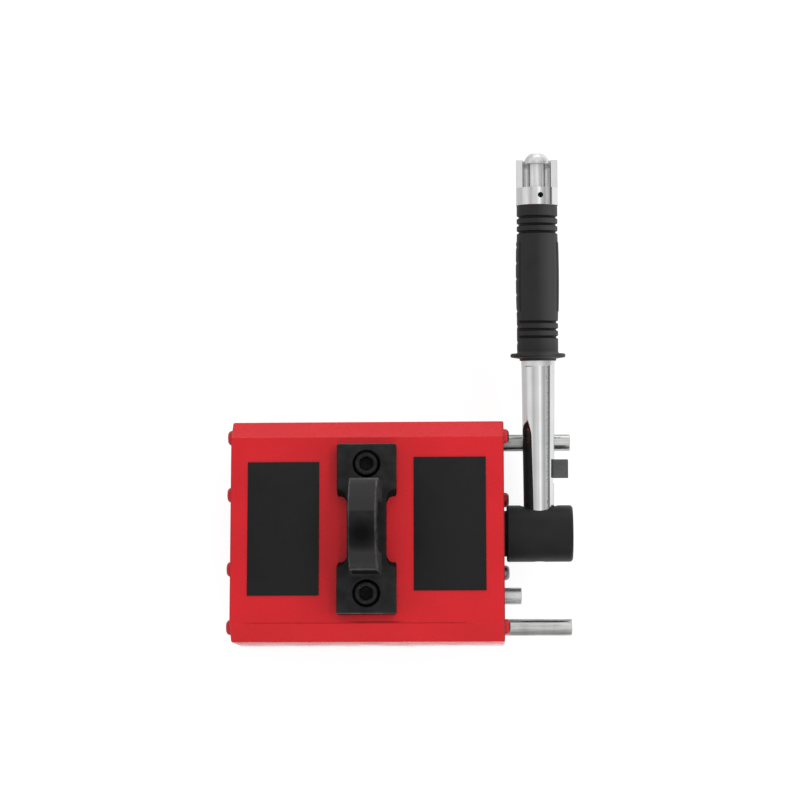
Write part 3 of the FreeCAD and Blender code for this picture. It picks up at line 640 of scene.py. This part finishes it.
eye = merged_copy("lifting_eye", "cast_lifting_eye")
eye_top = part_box("lifting_eye")[1].z
eye_rise = eye_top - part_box("lifting_eye")[0].z
eye_pad_top = eye_top - eye_rise + eye_pad_rise
remesh = eye.modifiers.new("skin", "REMESH")
remesh.mode = "VOXEL"
remesh.voxel_size = eye_voxel
soften = eye.modifiers.new("soften", "SMOOTH")
soften.factor = 0.5
soften.iterations = eye_soften
settle(eye)
mark_edges(eye.data)
roughen(eye.data, eye_skin_size, cast_depth)
eye.data.shade_smooth()
eye.data.materials.clear()
eye.data.materials.append(eye_coat())
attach(eye, "block")
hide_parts("lifting_eye")


# Eye screws: two black socket-head screws with low knurled heads, sunk in the pads. Their sockets have
# a turned lead-in and dirt on their floors. Everything but the heads' top faces is painted near black, as
# painted shade in the sockets and round the heads.
eye_head_radius = 9.0 * MM
eye_head_height = 7.0 * MM
eye_head_break = 1.0 * MM
eye_knurl_count = 36
eye_knurl_depth = 0.16 * MM
eye_socket_across = 8.8 * MM
eye_socket_lead = 0.6 * MM
eye_socket_depth = 3.6 * MM
eye_shank_radius = 6.0 * MM
eye_shank_length = 30 * MM
eye_screw_sides = 144
hexagon_corner = 1.155
screw_cloud_size = 2.2 * MM
screw_rub_size = 1.3 * MM
screw_rub_spread = (0.60, 0.72)
screw_rub_strength = 0.5
screw_top_drop = (0.6 * MM, 0.05 * MM)
screw_top_edge = 0.5 * MM
screw_dirt_height = 0.1 * MM
screw_dirt_reach = 0.6
screw_skin_size = 0.5 * MM
screw_skin_depth = 0.02 * MM
screw_gloss = (0.32, 0.48)
screw_grey = grey(0.021)
screw_dark = grey(0.013)
screw_painted_shade = grey(0.0010)
screw_dirt = grey(0.010)
screw_rub = grey(0.06)


def eye_screw_mesh():
    def knurl(turn):
        return eye_head_radius - eye_knurl_depth * (0.5 + 0.5 * math.cos(eye_knurl_count * turn))

    top = eye_head_height
    mouth = eye_socket_across / 2 * hexagon_corner + eye_socket_lead
    flat = eye_head_radius - eye_head_break
    rings = [(-eye_shank_length, eye_shank_radius), (0.0, eye_shank_radius), (0.0, eye_head_radius),
             (0.3 * MM, eye_head_radius), (0.6 * MM, knurl), (top - 1.3 * MM, knurl),
             (top - 0.95 * MM, eye_head_radius), (top - 0.75 * MM, eye_head_radius - 0.08 * MM),
             (top - 0.15 * MM, flat + 0.15 * MM), (top, flat - 0.15 * MM), (top, mouth + 0.2 * MM),
             (top - 0.1 * MM, mouth - 0.05 * MM),
             (top - eye_socket_lead, six_sided(eye_socket_across * 1.02)),
             (top - eye_socket_lead - 0.2 * MM, six_sided(eye_socket_across)),
             (top - eye_socket_depth, six_sided(eye_socket_across)),
             (top - eye_socket_depth - 0.4 * MM, eye_socket_across / 8)]
    return ringed("eye_screw", rings, eye_screw_sides)


def screw_black():
    """Black oxide steel with bright rubs on the head's top face and dirt on the socket floor. Everything else
    is painted near black, as painted shade in the socket and round the head.
    """
    material, tree, shader = new_finish("eye_screw_black", Specular_IOR_Level=0.05)
    place = own_place(tree)
    clouds = ranged(lumps(tree, screw_cloud_size, 4.0), *metal_spread)
    aside = minus(combined("ABSOLUTE", place["Y"]), eye_screw_half)
    reach = radius_of(aside, place["X"])
    rim = eye_head_radius - eye_head_break
    # Painted shade: everything but the head's top face is painted near black.
    top_face = product(ranged(place["Z"], *[eye_screw_top - drop for drop in screw_top_drop]),
                    ranged(reach, rim - screw_top_edge, rim, 1.0, 0.0))
    socket_floor = eye_screw_top - eye_socket_depth + screw_dirt_height
    dirt = product(combined("LESS_THAN", place["Z"], socket_floor),
                   combined("LESS_THAN", reach, eye_socket_across * screw_dirt_reach), clouds)
    rubs = ranged(lumps(tree, screw_rub_size, 2.0), *screw_rub_spread, 0.0, screw_rub_strength)
    rubs = product(rubs, top_face)
    colour = blended(top_face, screw_painted_shade, blended(clouds, screw_grey, screw_dark))
    colour = layered(colour, (dirt, screw_dirt), (rubs, screw_rub))
    set_surface(shader, colour, ranged(clouds, 0.0, 1.0, *screw_gloss))
    set_skin(shader, lumps(tree, screw_skin_size), screw_skin_depth)
    return material


eye_screw_low, eye_screw_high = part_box("eye_screws")
eye_screw_top = eye_screw_high.z
eye_screw_seat = eye_screw_top - eye_head_height
eye_screw_half = (eye_screw_high.y - eye_screw_low.y) / 2 - eye_head_radius
eye_screw = eye_screw_mesh()
shade_smooth(eye_screw, 40)
eye_screws = set_screws("sunk_eye_screws", eye_screw,
                        [(0, -eye_screw_half, eye_screw_seat), (0, eye_screw_half, eye_screw_seat)],
                        Euler((0, 0, 0)), screw_black())
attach(eye_screws, "block")
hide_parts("eye_screws")


# Rating plates: two thin black plates glued flat on the top face, one on each side of the eye. They are
# bare, with a faint grain. Their corners are in millimetres.
rating_boxes = {"rear_rating_plate": ((-87.4, -48.0), (-35.0, 49.7)),
                "drive_rating_plate": ((34.1, -44.6), (86.8, 53.0))}
rating_thickness = 0.5 * MM
rating_edge = 0.12 * MM
rating_black = grey(0.0060, 0.0061)
rating_grey = grey(0.0085, 0.0086)
rating_cloud_size = 18 * MM
rating_spread = (0.38, 0.62)
rating_gloss = (0.36, 0.48)
rating_grain_size = 0.5 * MM
rating_grain_stretch = (1, 0.05, 1)
rating_grain_depth = 0.006 * MM


def rating_coat():
    material, tree, shader = new_finish("rating_plate_black", Specular_IOR_Level=0.18)
    grain = lumps(tree, rating_grain_size, 2.0, rating_grain_stretch)
    tone = ranged(mean(grain, lumps(tree, rating_cloud_size, 4.0)), *rating_spread)
    set_surface(shader, blended(tone, rating_black, rating_grey),
                clouded(tree, rating_cloud_size, 4.0, *rating_gloss))
    set_skin(shader, grain, rating_grain_depth)
    return material


block_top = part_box("top_spacer")[1].z
rating_finish = rating_coat()
for name, ((left, front), (right, back)) in rating_boxes.items():
    work = bmesh.new()
    bmesh.ops.create_cube(work, size=1.0)
    scale = [(right - left) * MM, (back - front) * MM, rating_thickness]
    middle = [(left + right) / 2 * MM, (front + back) / 2 * MM, block_top + rating_thickness / 2]
    bmesh.ops.transform(work, matrix=Matrix.LocRotScale(middle, None, scale), verts=work.verts)
    bmesh.ops.bevel(work, geom=work.edges, offset=rating_edge, segments=2, profile=0.5, affect="EDGES")
    mesh = bpy.data.meshes.new(name)
    work.to_mesh(mesh)
    work.free()
    shade_smooth(mesh, 50)
    mesh.materials.append(rating_finish)
    plate = new_piece(name, mesh)
    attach(plate, "block")


# Stop pins: three turned steel pins pressed into the drive end. The two long ones stop the handle at each
# end of its turn. The back one is painted darker as far as the bar, as painted shade from the bar. The
# short one is less bright.
pin_steel = (grey(0.68, 0.675), grey(0.40, 0.395))
pin_gloss = (0.18, 0.26)
pin_lines = {"line_width": 1.1 * MM, "stretch": (30, 1, 1), "depth": 0.003 * MM}
short_pin_steel = (grey(0.68), grey(0.48))
short_pin_gloss = (0.22, 0.30)
short_pin_metal = 0.75
bar_shade_dark = (0.030, 0.029, 0.027, 1.0)
bar_shade_strength = 0.45
bar_shade_fade = 4 * MM
bar_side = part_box("handle_bar")[0].x
dress(worked_metal("turned_pin", pin_steel, gloss=pin_gloss, **pin_lines), "front_stop_pin")
dress(worked_metal("oiled_pin", pin_steel, gloss=pin_gloss, oiled_to=bar_side, **pin_lines), "back_stop_pin")
dress(worked_metal("dull_pin", short_pin_steel, gloss=short_pin_gloss, metal=short_pin_metal, **pin_lines),
      "short_pin")


# Hub: a turned steel boss on the end of the shaft, coated black. The handle bar stands in its socket
# and a sunk set screw from below holds it.
hub_black = grey(0.0100, 0.0102)
hub_grey = grey(0.0135, 0.0138)
hub_cloud_size = 14 * MM
hub_gloss = (0.40, 0.50)
hub_ring_width = 0.6 * MM
hub_ring_stretch = (1, 0.08, 0.08)
hub_ring_depth = 0.010 * MM


def hub_coat():
    material, tree, shader = new_finish("hub_coat", Specular_IOR_Level=0.17)
    clouds = clouded(tree, hub_cloud_size, 4.0)
    colour = blended(clouds, hub_black, hub_grey)
    set_surface(shader, colour, ranged(clouds, 0.0, 1.0, *hub_gloss))
    set_skin(shader, lumps(tree, hub_ring_width, 2.0, hub_ring_stretch), hub_ring_depth)
    return material


dress(hub_coat(), "hub")
dress(worked_metal("set_screw_black", black_oxide, line_width=0.5 * MM, gloss=(0.40, 0.50)),
      "hub_set_screw", "cap_set_screw")


# Handle bar: a tapered steel bar, chromium plated and polished along its length. The plating has fine
# lengthwise streaks, a row of small pits, and a dull ring with a dark smear beside the grip.
hinge = Vector(frame["record"]["behaviour"]["joints"][0]["pos_m"])
slide = Vector(frame["record"]["behaviour"]["joints"][1]["axis"])
handle_lean = math.atan2(-slide.z, -slide.y)
handle_place = Matrix.Translation(hinge) @ Matrix.Rotation(handle_lean, 4, "X")
chrome = (grey(0.74, 0.745), grey(0.68, 0.685))
chrome_cloud_size = 14 * MM
chrome_spread = (0.40, 0.62)
streak_depth = 0.003 * MM
pit_dark = grey(0.16)
pit_size = 0.9 * MM
pit_row_aside = 6.3 * MM
pit_row_half = (0.3 * MM, 1.6 * MM)
pit_spread = (0.56, 0.66)
pit_strength = 0.75
pit_dulling = 0.25
dull_chrome = grey(0.80)
dull_ring_start = 124.2 * MM
dull_ring_fade = 0.6 * MM
dull_ring_gloss = 0.45
smear_dark = grey(0.12)
smear_aside = 7.3 * MM
smear_half = (1.5 * MM, 3.2 * MM)
smear_half_run = (0.2 * MM, 0.6 * MM)
smear_strength = 0.8


def chrome_plate(name, colours, streak_width, streak_run, gloss, used=False):
    """Bright plating, streaked along the handle. Used plating has a row of pits, and a dull ring with a
    smear by the grip."""
    material, tree, shader = new_finish(name, Metallic=1.0)
    streaks = lumps(tree, streak_width, 3.0, (1, streak_width / streak_run, 1), (-handle_lean, 0, 0))
    tone = mean(streaks, lumps(tree, chrome_cloud_size))
    colour = blended(ranged(tone, *chrome_spread), *colours)
    rough = ranged(tone, *metal_spread, *gloss)
    if used:
        place = own_place(tree)
        row = ranged(distance(place["X"], hinge.x + pit_row_aside), *pit_row_half, 1.0, 0.0)
        pits = product(ranged(lumps(tree, pit_size, 2.0), *pit_spread), row, pit_strength)
        rough = combined("ADD", rough, product(pits, pit_dulling))
        rise = minus(place["Z"], hinge.z)
        run = combined("ADD", product(place["Y"], -slide.y), product(rise, -slide.z))
        ring = ranged(run, dull_ring_start, dull_ring_start + dull_ring_fade)
        rough = combined("MAXIMUM", rough, product(ring, dull_ring_gloss))
        smear = ranged(distance(run, dull_ring_start), *smear_half_run, smear_strength, 0.0)
        aside = distance(place["X"], hinge.x - smear_aside)
        smear = product(smear, ranged(aside, *smear_half, 1.0, 0.0))
        colour = layered(colour, (pits, pit_dark), (ring, dull_chrome), (smear, smear_dark))
    set_surface(shader, colour, rough)
    set_skin(shader, streaks, streak_depth)
    return material


bar_chrome = chrome_plate("bar_chrome", chrome, streak_width=1.1 * MM, streak_run=70 * MM, gloss=(0.05, 0.11),
                          used=True)
dress(bar_chrome, "handle_bar")


# Grip: a moulded black rubber sleeve pushed on the bar, with a hand flange, ring grooves near both
# ends, raised side pads and finger notches on the block's side.
grip_start = 128.3 * MM
grip_end = 243.6 * MM
grip_bore = 12.43 * MM
grip_radius = 15.15 * MM
grip_crest = 0.5 * MM
grip_collar = (13.6 * MM, 1.5 * MM)
grip_rim_radius = 20.5 * MM
grip_rim_low = grip_start + 2.3 * MM
grip_rim_round = 1.6 * MM
grip_root = 1.5 * MM
grip_lip = 0.35 * MM
grip_break = 0.3 * MM
grip_taper = (0.10 * MM, 8 * MM)
grip_step = 0.3 * MM
grip_end_step = 0.5 * MM
grip_round_step = 15
grip_sides = 128
groove_count = 3
groove_low = 145.8 * MM
groove_high = 234.5 * MM
groove_pitch = 5.55 * MM
groove_flat = 0.35
rib_fade = 0.10
pad_end_fade = 0.9 * MM
pad_edge_fade = 0.05
crease_half = 0.055
notch_fade = 0.25
sleeve_fade = 2.0 * MM
rubber = grey(0.0100, 0.0102)
rubber_grey = grey(0.0170, 0.0172)
rubber_sheen = grey(0.0400, 0.0402)
rubber_groove_shade = grey(0.0020)
rubber_gloss = (0.48, 0.60)
rubber_cloud_size = 16 * MM
rubber_cloud_strength = 0.6
rubber_scuff_size = 3 * MM
rubber_scuff_stretch = (1, 0.2, 1)
rubber_scuff_spread = (0.45, 0.75)
rubber_scuff_strength = 0.4
rubber_skin_size = 0.6 * MM
rubber_skin_depth = 0.025 * MM
groove_shade_from = (0.15, 0.7)
groove_shade_strength = 0.95
sheen_rise = 9 * MM
sheen_fall = (10 * MM, 15 * MM)
sheen_edge = 0.5


def grip_profile():
    """The sleeve's section from its bore round the flange to the cap's end, as (radius, station)."""
    collar, collar_length = grip_collar
    rim_high = grip_rim_low + 2 * grip_rim_round
    points = [(grip_bore, grip_start), (collar - grip_break, grip_start), (collar, grip_start + grip_break),
              (collar, grip_start + collar_length)]
    for k in range(180 // grip_round_step + 1):
        lean = math.radians(grip_round_step * k - 90)
        points.append((grip_rim_radius - grip_rim_round + grip_rim_round * math.cos(lean),
                       grip_rim_low + grip_rim_round + grip_rim_round * math.sin(lean)))
    for k in range(90 // grip_round_step + 1):
        lean = math.radians(grip_round_step * k - 90)
        points.append((grip_radius + grip_root + grip_root * math.sin(lean - math.pi / 2),
                       rim_high + grip_root - grip_root * math.cos(lean + math.pi / 2)))
    start = rim_high + grip_root
    count = round((grip_end - start) / grip_step)
    groove_run = (groove_count - 0.5) * groove_pitch
    low = groove_low + groove_run
    high = groove_high - groove_run
    for k in range(1, count):
        station = start + (grip_end - grip_end_step - start) * k / count
        across = (2 * station - low - high) / (high - low)
        swell = grip_crest * max(0.0, 1 - across ** 2)
        taper = grip_taper[0] * max(0.0, (station - grip_end + grip_taper[1]) / grip_taper[1])
        points.append((grip_radius + swell - taper, station))
    outer = points[-1][0]
    points += [(outer + grip_lip, grip_end - grip_lip), (outer + grip_lip, grip_end), (grip_bore, grip_end)]
    return points


def grip_blank():
    """The plain sleeve before its mould marks, a closed ring about its Y axis."""
    section = grip_profile()
    turns = [2 * math.pi * k / grip_sides for k in range(grip_sides)]
    spots = [(r * math.cos(t), s, r * math.sin(t)) for r, s in section for t in turns]
    faces = []
    for i in range(len(section)):
        here = i * grip_sides
        there = (i + 1) % len(section) * grip_sides
        for k in range(grip_sides):
            last = (k - 1) % grip_sides
            faces.append((here + last, here + k, there + k, there + last))
    mesh = bpy.data.meshes.new("moulded_grip")
    mesh.from_pydata(spots, [], faces)
    work = bmesh.new()
    work.from_mesh(mesh)
    bmesh.ops.recalc_face_normals(work, faces=work.faces)
    work.to_mesh(mesh)
    work.free()
    return mesh


def grip_mould():
    """A tree that sinks the ring grooves and notches and raises the side pads, each by a named size."""
    sizes = {label: "Float" for label in (
        "Groove_Low", "Groove_High", "Groove_Pitch", "Groove_Half_Width", "Groove_Depth", "Pad_From",
        "Pad_To", "Pad_Rise", "Crease_Depth", "Left_Pad_Angle", "Right_Pad_Angle", "Rib_Angle", "Rib_Rise",
        "Notch_First", "Notch_Pitch", "Notch_Half_Width", "Notch_Depth", "Sleeve_From", "Skin_From")}
    tree, given, result = new_tree("grip_mould", **sizes, Finish="Material")
    place = add(tree, "GeometryNodeInputPosition").outputs[0]
    x, station, z = add(tree, "ShaderNodeSeparateXYZ", {0: place}).outputs
    radius = radius_of(x, z)
    from_left = combined("ABSOLUTE", combined("ARCTAN2", z, product(x, -1.0)))
    from_right = combined("ABSOLUTE", combined("ARCTAN2", z, x))
    off_rib = ranged(minus(from_left, given["Rib Angle"]), 0.0, rib_fade)
    on_rib = minus(1.0, off_rib)
    groove_floor = product(given["Groove Half Width"], groove_flat)

    def grooves(first, way):
        """The ring grooves of one end, a pitch apart from the first one."""
        rings = 0.0
        for k in range(groove_count):
            at = combined("MULTIPLY_ADD", given["Groove Pitch"], float(way * k), given[first])
            ring = ranged(distance(station, at), groove_floor, given["Groove Half Width"], 1.0, 0.0)
            rings = combined("ADD", rings, ring)
        return rings

    sunk = combined("ADD", product(grooves("Groove Low", 1), off_rib), grooves("Groove High", -1))
    rise = product(sunk, given["Groove Depth"], -1.0)

    in_pad = combined("MINIMUM", minus(station, given["Pad From"]), minus(given["Pad To"], station))
    in_pad = ranged(in_pad, 0.0, pad_end_fade)
    creases = 0.0
    for turn, angle in ((from_left, "Left Pad Angle"), (from_right, "Right Pad Angle")):
        edge = minus(given[angle], turn)
        pad = product(ranged(edge, 0.0, pad_edge_fade), given["Pad Rise"])
        crease = ranged(combined("ABSOLUTE", edge), 0.0, crease_half, 1.0, 0.0)
        creases = combined("ADD", creases, product(crease, in_pad))
        pad = minus(pad, product(crease, given["Crease Depth"]))
        rise = combined("ADD", rise, product(pad, in_pad))

    below_pad = combined("LESS_THAN", station, given["Pad From"])
    rise = combined("ADD", rise, product(on_rib, below_pad, given["Rib Rise"]))
    away = combined("PINGPONG", minus(station, given["Notch First"]),
                    product(given["Notch Pitch"], 0.5))
    notch = ranged(away, 0.0, given["Notch Half Width"], given["Notch Depth"], 0.0)
    reach = minus(given["Left Pad Angle"], from_left)
    notch = product(notch, ranged(reach, 0.0, notch_fade),
                    combined("LESS_THAN", station, given["Pad To"]))
    rise = minus(rise, notch)

    past_flange = minus(station, given["Sleeve From"])
    outside = product(combined("GREATER_THAN", radius, given["Skin From"]),
                      ranged(past_flange, 0.0, sleeve_fade))
    share = combined("DIVIDE", product(rise, outside), radius)
    shift = {"X": product(x, share), "Z": product(z, share)}
    shift = add(tree, "ShaderNodeCombineXYZ", shift).outputs[0]
    lines = product(combined("ADD", sunk, creases), outside)
    shape = {"Geometry": given["Geometry"], "Name": "line", "Value": lines}
    shape = add(tree, "GeometryNodeStoreNamedAttribute", shape, data_type="FLOAT", domain="POINT").outputs[0]
    shape = add(tree, "GeometryNodeSetPosition", {"Geometry": shape, "Offset": shift}).outputs[0]
    end_tree(tree, shape, given["Finish"], result)
    return tree


def grip_rubber():
    """Matt rubber with a fine moulded skin and scuffs. Its side away from the block is painted paler, as a
    painted sheen, and its grooves and creases are painted dark, as painted shade.
    """
    material, tree, shader = new_finish("grip_rubber_skin", Specular_IOR_Level=0.28)
    scuffs = lumps(tree, rubber_scuff_size, 4.0, rubber_scuff_stretch, (-handle_lean, 0, 0))
    scuffs = product(ranged(scuffs, *rubber_scuff_spread), rubber_scuff_strength)
    tone = combined("ADD", product(clouded(tree, rubber_cloud_size, 4.0), rubber_cloud_strength), scuffs)
    # Painted sheen: the side away from the block is painted paler.
    beside = minus(own_place(tree)["X"], hinge.x)
    side_sheen = product(ranged(beside, 0, sheen_rise), ranged(beside, *sheen_fall, 1.0, sheen_edge))
    # Painted shade: the grooves and creases are painted dark.
    lines = add(tree, "ShaderNodeAttribute", attribute_name="line").outputs["Fac"]
    lines = ranged(lines, *groove_shade_from, 0.0, groove_shade_strength)
    colour = blended(tone, rubber, rubber_grey)
    colour = layered(colour, (side_sheen, rubber_sheen), (lines, rubber_groove_shade))
    set_surface(shader, colour, ranged(tone, 0.0, 1.0, *rubber_gloss))
    set_skin(shader, lumps(tree, rubber_skin_size, 2.0), rubber_skin_depth)
    return material


grip = new_piece("moulded_grip", grip_blank())
work_tree(grip, grip_mould(), Groove_Low=groove_low, Groove_High=groove_high, Groove_Pitch=groove_pitch,
          Groove_Half_Width=1.15 * MM, Groove_Depth=1.5 * MM, Pad_From=164.4 * MM, Pad_To=216.7 * MM,
          Pad_Rise=0.40 * MM, Crease_Depth=0.35 * MM, Left_Pad_Angle=math.radians(34),
          Right_Pad_Angle=math.radians(23), Rib_Angle=math.radians(21), Rib_Rise=0.35 * MM,
          Notch_First=165.5 * MM, Notch_Pitch=11.8 * MM, Notch_Half_Width=1.5 * MM, Notch_Depth=0.45 * MM,
          Sleeve_From=134.2 * MM, Skin_From=13.9 * MM, Finish=grip_rubber())
grip.data.transform(handle_place)
shade_smooth(grip.data, 60)
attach(grip, "handle")
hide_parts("grip")


# Guard cap: a chromium-plated steel cup on the end of the bar, cut open on top round the push button,
# with a small sunk set screw.
dress(chrome_plate("cap_chrome", chrome, streak_width=2.0 * MM, streak_run=9 * MM, gloss=(0.06, 0.12)),
      "guard_cap")


# Push button and latch: a domed plated button on a steel rod that runs down the bar to a square key of
# dark blued steel, which a pin holds on the rod.
button_chrome = (grey(0.80), grey(0.62))
key_steel = (grey(0.138, 0.139), grey(0.108, 0.109))
dress(chrome_plate("button_chrome", button_chrome, streak_width=1.2 * MM, streak_run=30 * MM,
                   gloss=(0.32, 0.40)), "push_button")
dress(worked_metal("blued_key", key_steel, line_width=0.5 * MM, gloss=(0.46, 0.58), stretch=(8, 1, 1)),
      "latch_key")


# Return spring: the coil inside the bar that pushes the button back out. It has the imported coil's shape.
spring_steel = (grey(0.42, 0.43), grey(0.30, 0.31))
spring_finish = worked_metal("spring_finish", spring_steel, line_width=0.8 * MM, gloss=(0.26, 0.36))
dress(spring_finish, "return_spring", "key_pin")
coil = merged_copy("return_spring", "return_spring_coil")
shade_smooth(coil.data, 60)
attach(coil, "handle")
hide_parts("return_spring")
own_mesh(coil)


# Floor: a wide pale sheet under the lifter, with the soft shadow of the block on it. The camera sees it
# as white. Metal and gloss see it darker on the rear side and far in front, and bright along the block's
# foot.
floor_half = 6.0
floor_drop = 0.2 * MM
floor_pale = grey(0.25)
floor_lift = 0.83
floor_mirror_left = 0.42
floor_mirror_right = 0.75
floor_mirror_width = 0.25
floor_front_share = 0.1
floor_front_near = 30 * MM
floor_front_far = 150 * MM
floor_mirror_foot = 2.3
floor_foot_width = 5.0 * MM

floor_mesh = bpy.data.meshes.new("floor")
corners = [(x * floor_half, y * floor_half, -floor_drop) for x, y in ((-1, -1), (1, -1), (1, 1), (-1, 1))]
floor_mesh.from_pydata(corners, [], [(0, 1, 2, 3)])
floor = new_piece("floor", floor_mesh)
floor_paper, paper, floor_shader = new_finish("floor_paper", Roughness=0.9, Base_Color=floor_pale,
                                              Specular_IOR_Level=0.0, Emission_Color=(1, 1, 1, 1))
rays = add(paper, "ShaderNodeLightPath").outputs
spot = own_place(paper)
front_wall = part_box("front_pole_shoe")[0].y
in_front = ranged(spot["Y"], front_wall - floor_front_far, front_wall - floor_front_near,
                  floor_front_share, 1.0)
mirror = ranged(spot["X"], 0.0, floor_mirror_width, floor_mirror_left, floor_mirror_right)
foot = ranged(distance(spot["Y"], front_wall), 0.0, floor_foot_width, floor_mirror_foot, 0.0)
mirror = combined("ADD", product(mirror, in_front), foot)
glow = product(rays["Is Glossy Ray"], mirror)
glow = combined("MULTIPLY_ADD", rays["Is Camera Ray"], floor_lift, glow)
paper.links.new(glow, floor_shader.inputs["Emission Strength"])
floor_mesh.materials.append(floor_paper)


# Light: a white tent round the lifter with strips of light and shade along its length, which the metal
# mirrors, a long lamp above the handle's side and a low lamp in front, which nothing mirrors. The camera
# sees the tent as plain white.
tent_turns = ((-180, 0.70), (-92, 0.74), (-79, 0.90), (-60, 0.96), (-50, 0.86), (-42, 0.70), (-34, 0.64),
              (-24, 0.74), (-14, 0.84), (-4, 0.86), (3, 1.00), (12, 1.30), (19, 1.00), (26, 0.74), (34, 0.62),
              (41, 0.50), (48, 0.58), (56, 0.70), (64, 0.58), (73, 0.42), (81, 0.10), (88, 0.36), (100, 0.60),
              (180, 0.70))
tent_ends = ((-1.0, 0.40), (-0.8, 0.65), (0.0, 1.00), (0.8, 1.00), (0.93, 1.10), (0.97, 2.80), (1.0, 2.80))
tent_peak = 2.8
soft_overhead = 0.38
soft_side = 1.35
soft_front = 1.20
soft_back = 3.50
soft_rear_side = 0.76
soft_drive_side = 1.15
mirror_end_from = (0.35, 0.85)
soft_end_from = (0.45, 0.95)
soft_tilt = 0.8
lamp_place = (0.75, 0.40, 1.25)
lamp_lean = (math.radians(-16), math.radians(30))
lamp_width = 0.25
lamp_length = 1.7
lamp_power = 6.4
front_lamp_place = (0.10, -1.50, 0.65)
front_lamp_lean = math.radians(66)
front_lamp_height = 0.35
front_lamp_power = 12.5

world = bpy.data.worlds.new("light_tent")
bpy.context.scene.world = world
world.use_nodes = True
tent = world.node_tree
backdrop = tent.nodes["Background"]
way = add(tent, "ShaderNodeTexCoord").outputs["Generated"]
way = add(tent, "ShaderNodeSeparateXYZ", {0: way}).outputs


def tent_strips(value, low, high, stops):
    """Light levels along a range of values, as strips that run into each other."""
    ramp = add(tent, "ShaderNodeValToRGB", {0: ranged(value, low, high)})
    ramp.color_ramp.interpolation = "CARDINAL"
    while len(ramp.color_ramp.elements) < len(stops):
        ramp.color_ramp.elements.new(0.5)
    for element, (place, level) in zip(ramp.color_ramp.elements, stops):
        element.position = (place - low) / (high - low)
        element.color = [level / tent_peak] * 3 + [1.0]
    return product(ramp.outputs[0], tent_peak)


def between(share, first, second):
    return add(tent, "ShaderNodeMix", {0: share, 2: first, 3: second}, data_type="FLOAT").outputs[0]


turn = product(combined("ARCTAN2", way["X"], way["Z"]), math.degrees(1))
strips = tent_strips(turn, -180, 180, tent_turns)
endwise = combined("ABSOLUTE", way["Y"])
mirrored = between(ranged(endwise, *mirror_end_from), strips, tent_strips(way["Y"], -1, 1, tent_ends))
soft = between(ranged(endwise, *soft_end_from), product(strips, soft_overhead),
               ranged(way["Y"], -1.0, 1.0, soft_front, soft_back))
side_share = ranged(combined("ABSOLUTE", way["X"]), *soft_end_from)
soft = between(side_share, soft, soft_side)
soft = product(soft, ranged(way["X"], -soft_tilt, soft_tilt, soft_rear_side, soft_drive_side))
rays = add(tent, "ShaderNodeLightPath").outputs
level = between(rays["Is Glossy Ray"], soft, mirrored)
tent.links.new(between(rays["Is Camera Ray"], level, 1.0), backdrop.inputs["Strength"])
backdrop.inputs["Color"].default_value = (1, 1, 1, 1)


def hang_lamp(name, width, length, power, place, lean):
    """A flat lamp that metal and gloss don't mirror."""
    data = bpy.data.lights.new(name, "AREA")
    data.shape = "RECTANGLE"
    data.size = width
    data.size_y = length
    data.energy = power
    lamp = new_piece(name, data)
    lamp.location = place
    lamp.rotation_euler = lean
    lamp.visible_glossy = False


hang_lamp("long_lamp", lamp_width, lamp_length, lamp_power, lamp_place, (*lamp_lean, 0))
hang_lamp("front_lamp", lamp_length, front_lamp_height, front_lamp_power, front_lamp_place,
          (front_lamp_lean, 0, 0))


# Camera: it looks down on the lifter from above, leaning a little to the front and to the handle's side.
# Its turn, place and lens were fitted to the block's edges, the screws, the hub and the pins.
camera_turn = [math.radians(angle) for angle in (8.819, 2.260, -0.049)]
camera_target = Vector((24.166, 95.217, 90.0)) * MM
camera_distance = 1660.7 * MM
camera_lens = 101.76
camera_data = bpy.data.cameras.new("camera")
camera_data.lens = camera_lens
camera_data.sensor_width = 36.0
camera = new_piece("camera", camera_data)
camera.rotation_euler = camera_turn
camera.location = camera_target + Euler(camera_turn).to_matrix().col[2] * camera_distance
bpy.context.scene.camera = camera
bpy.context.scene.view_settings.view_transform = "Standard"
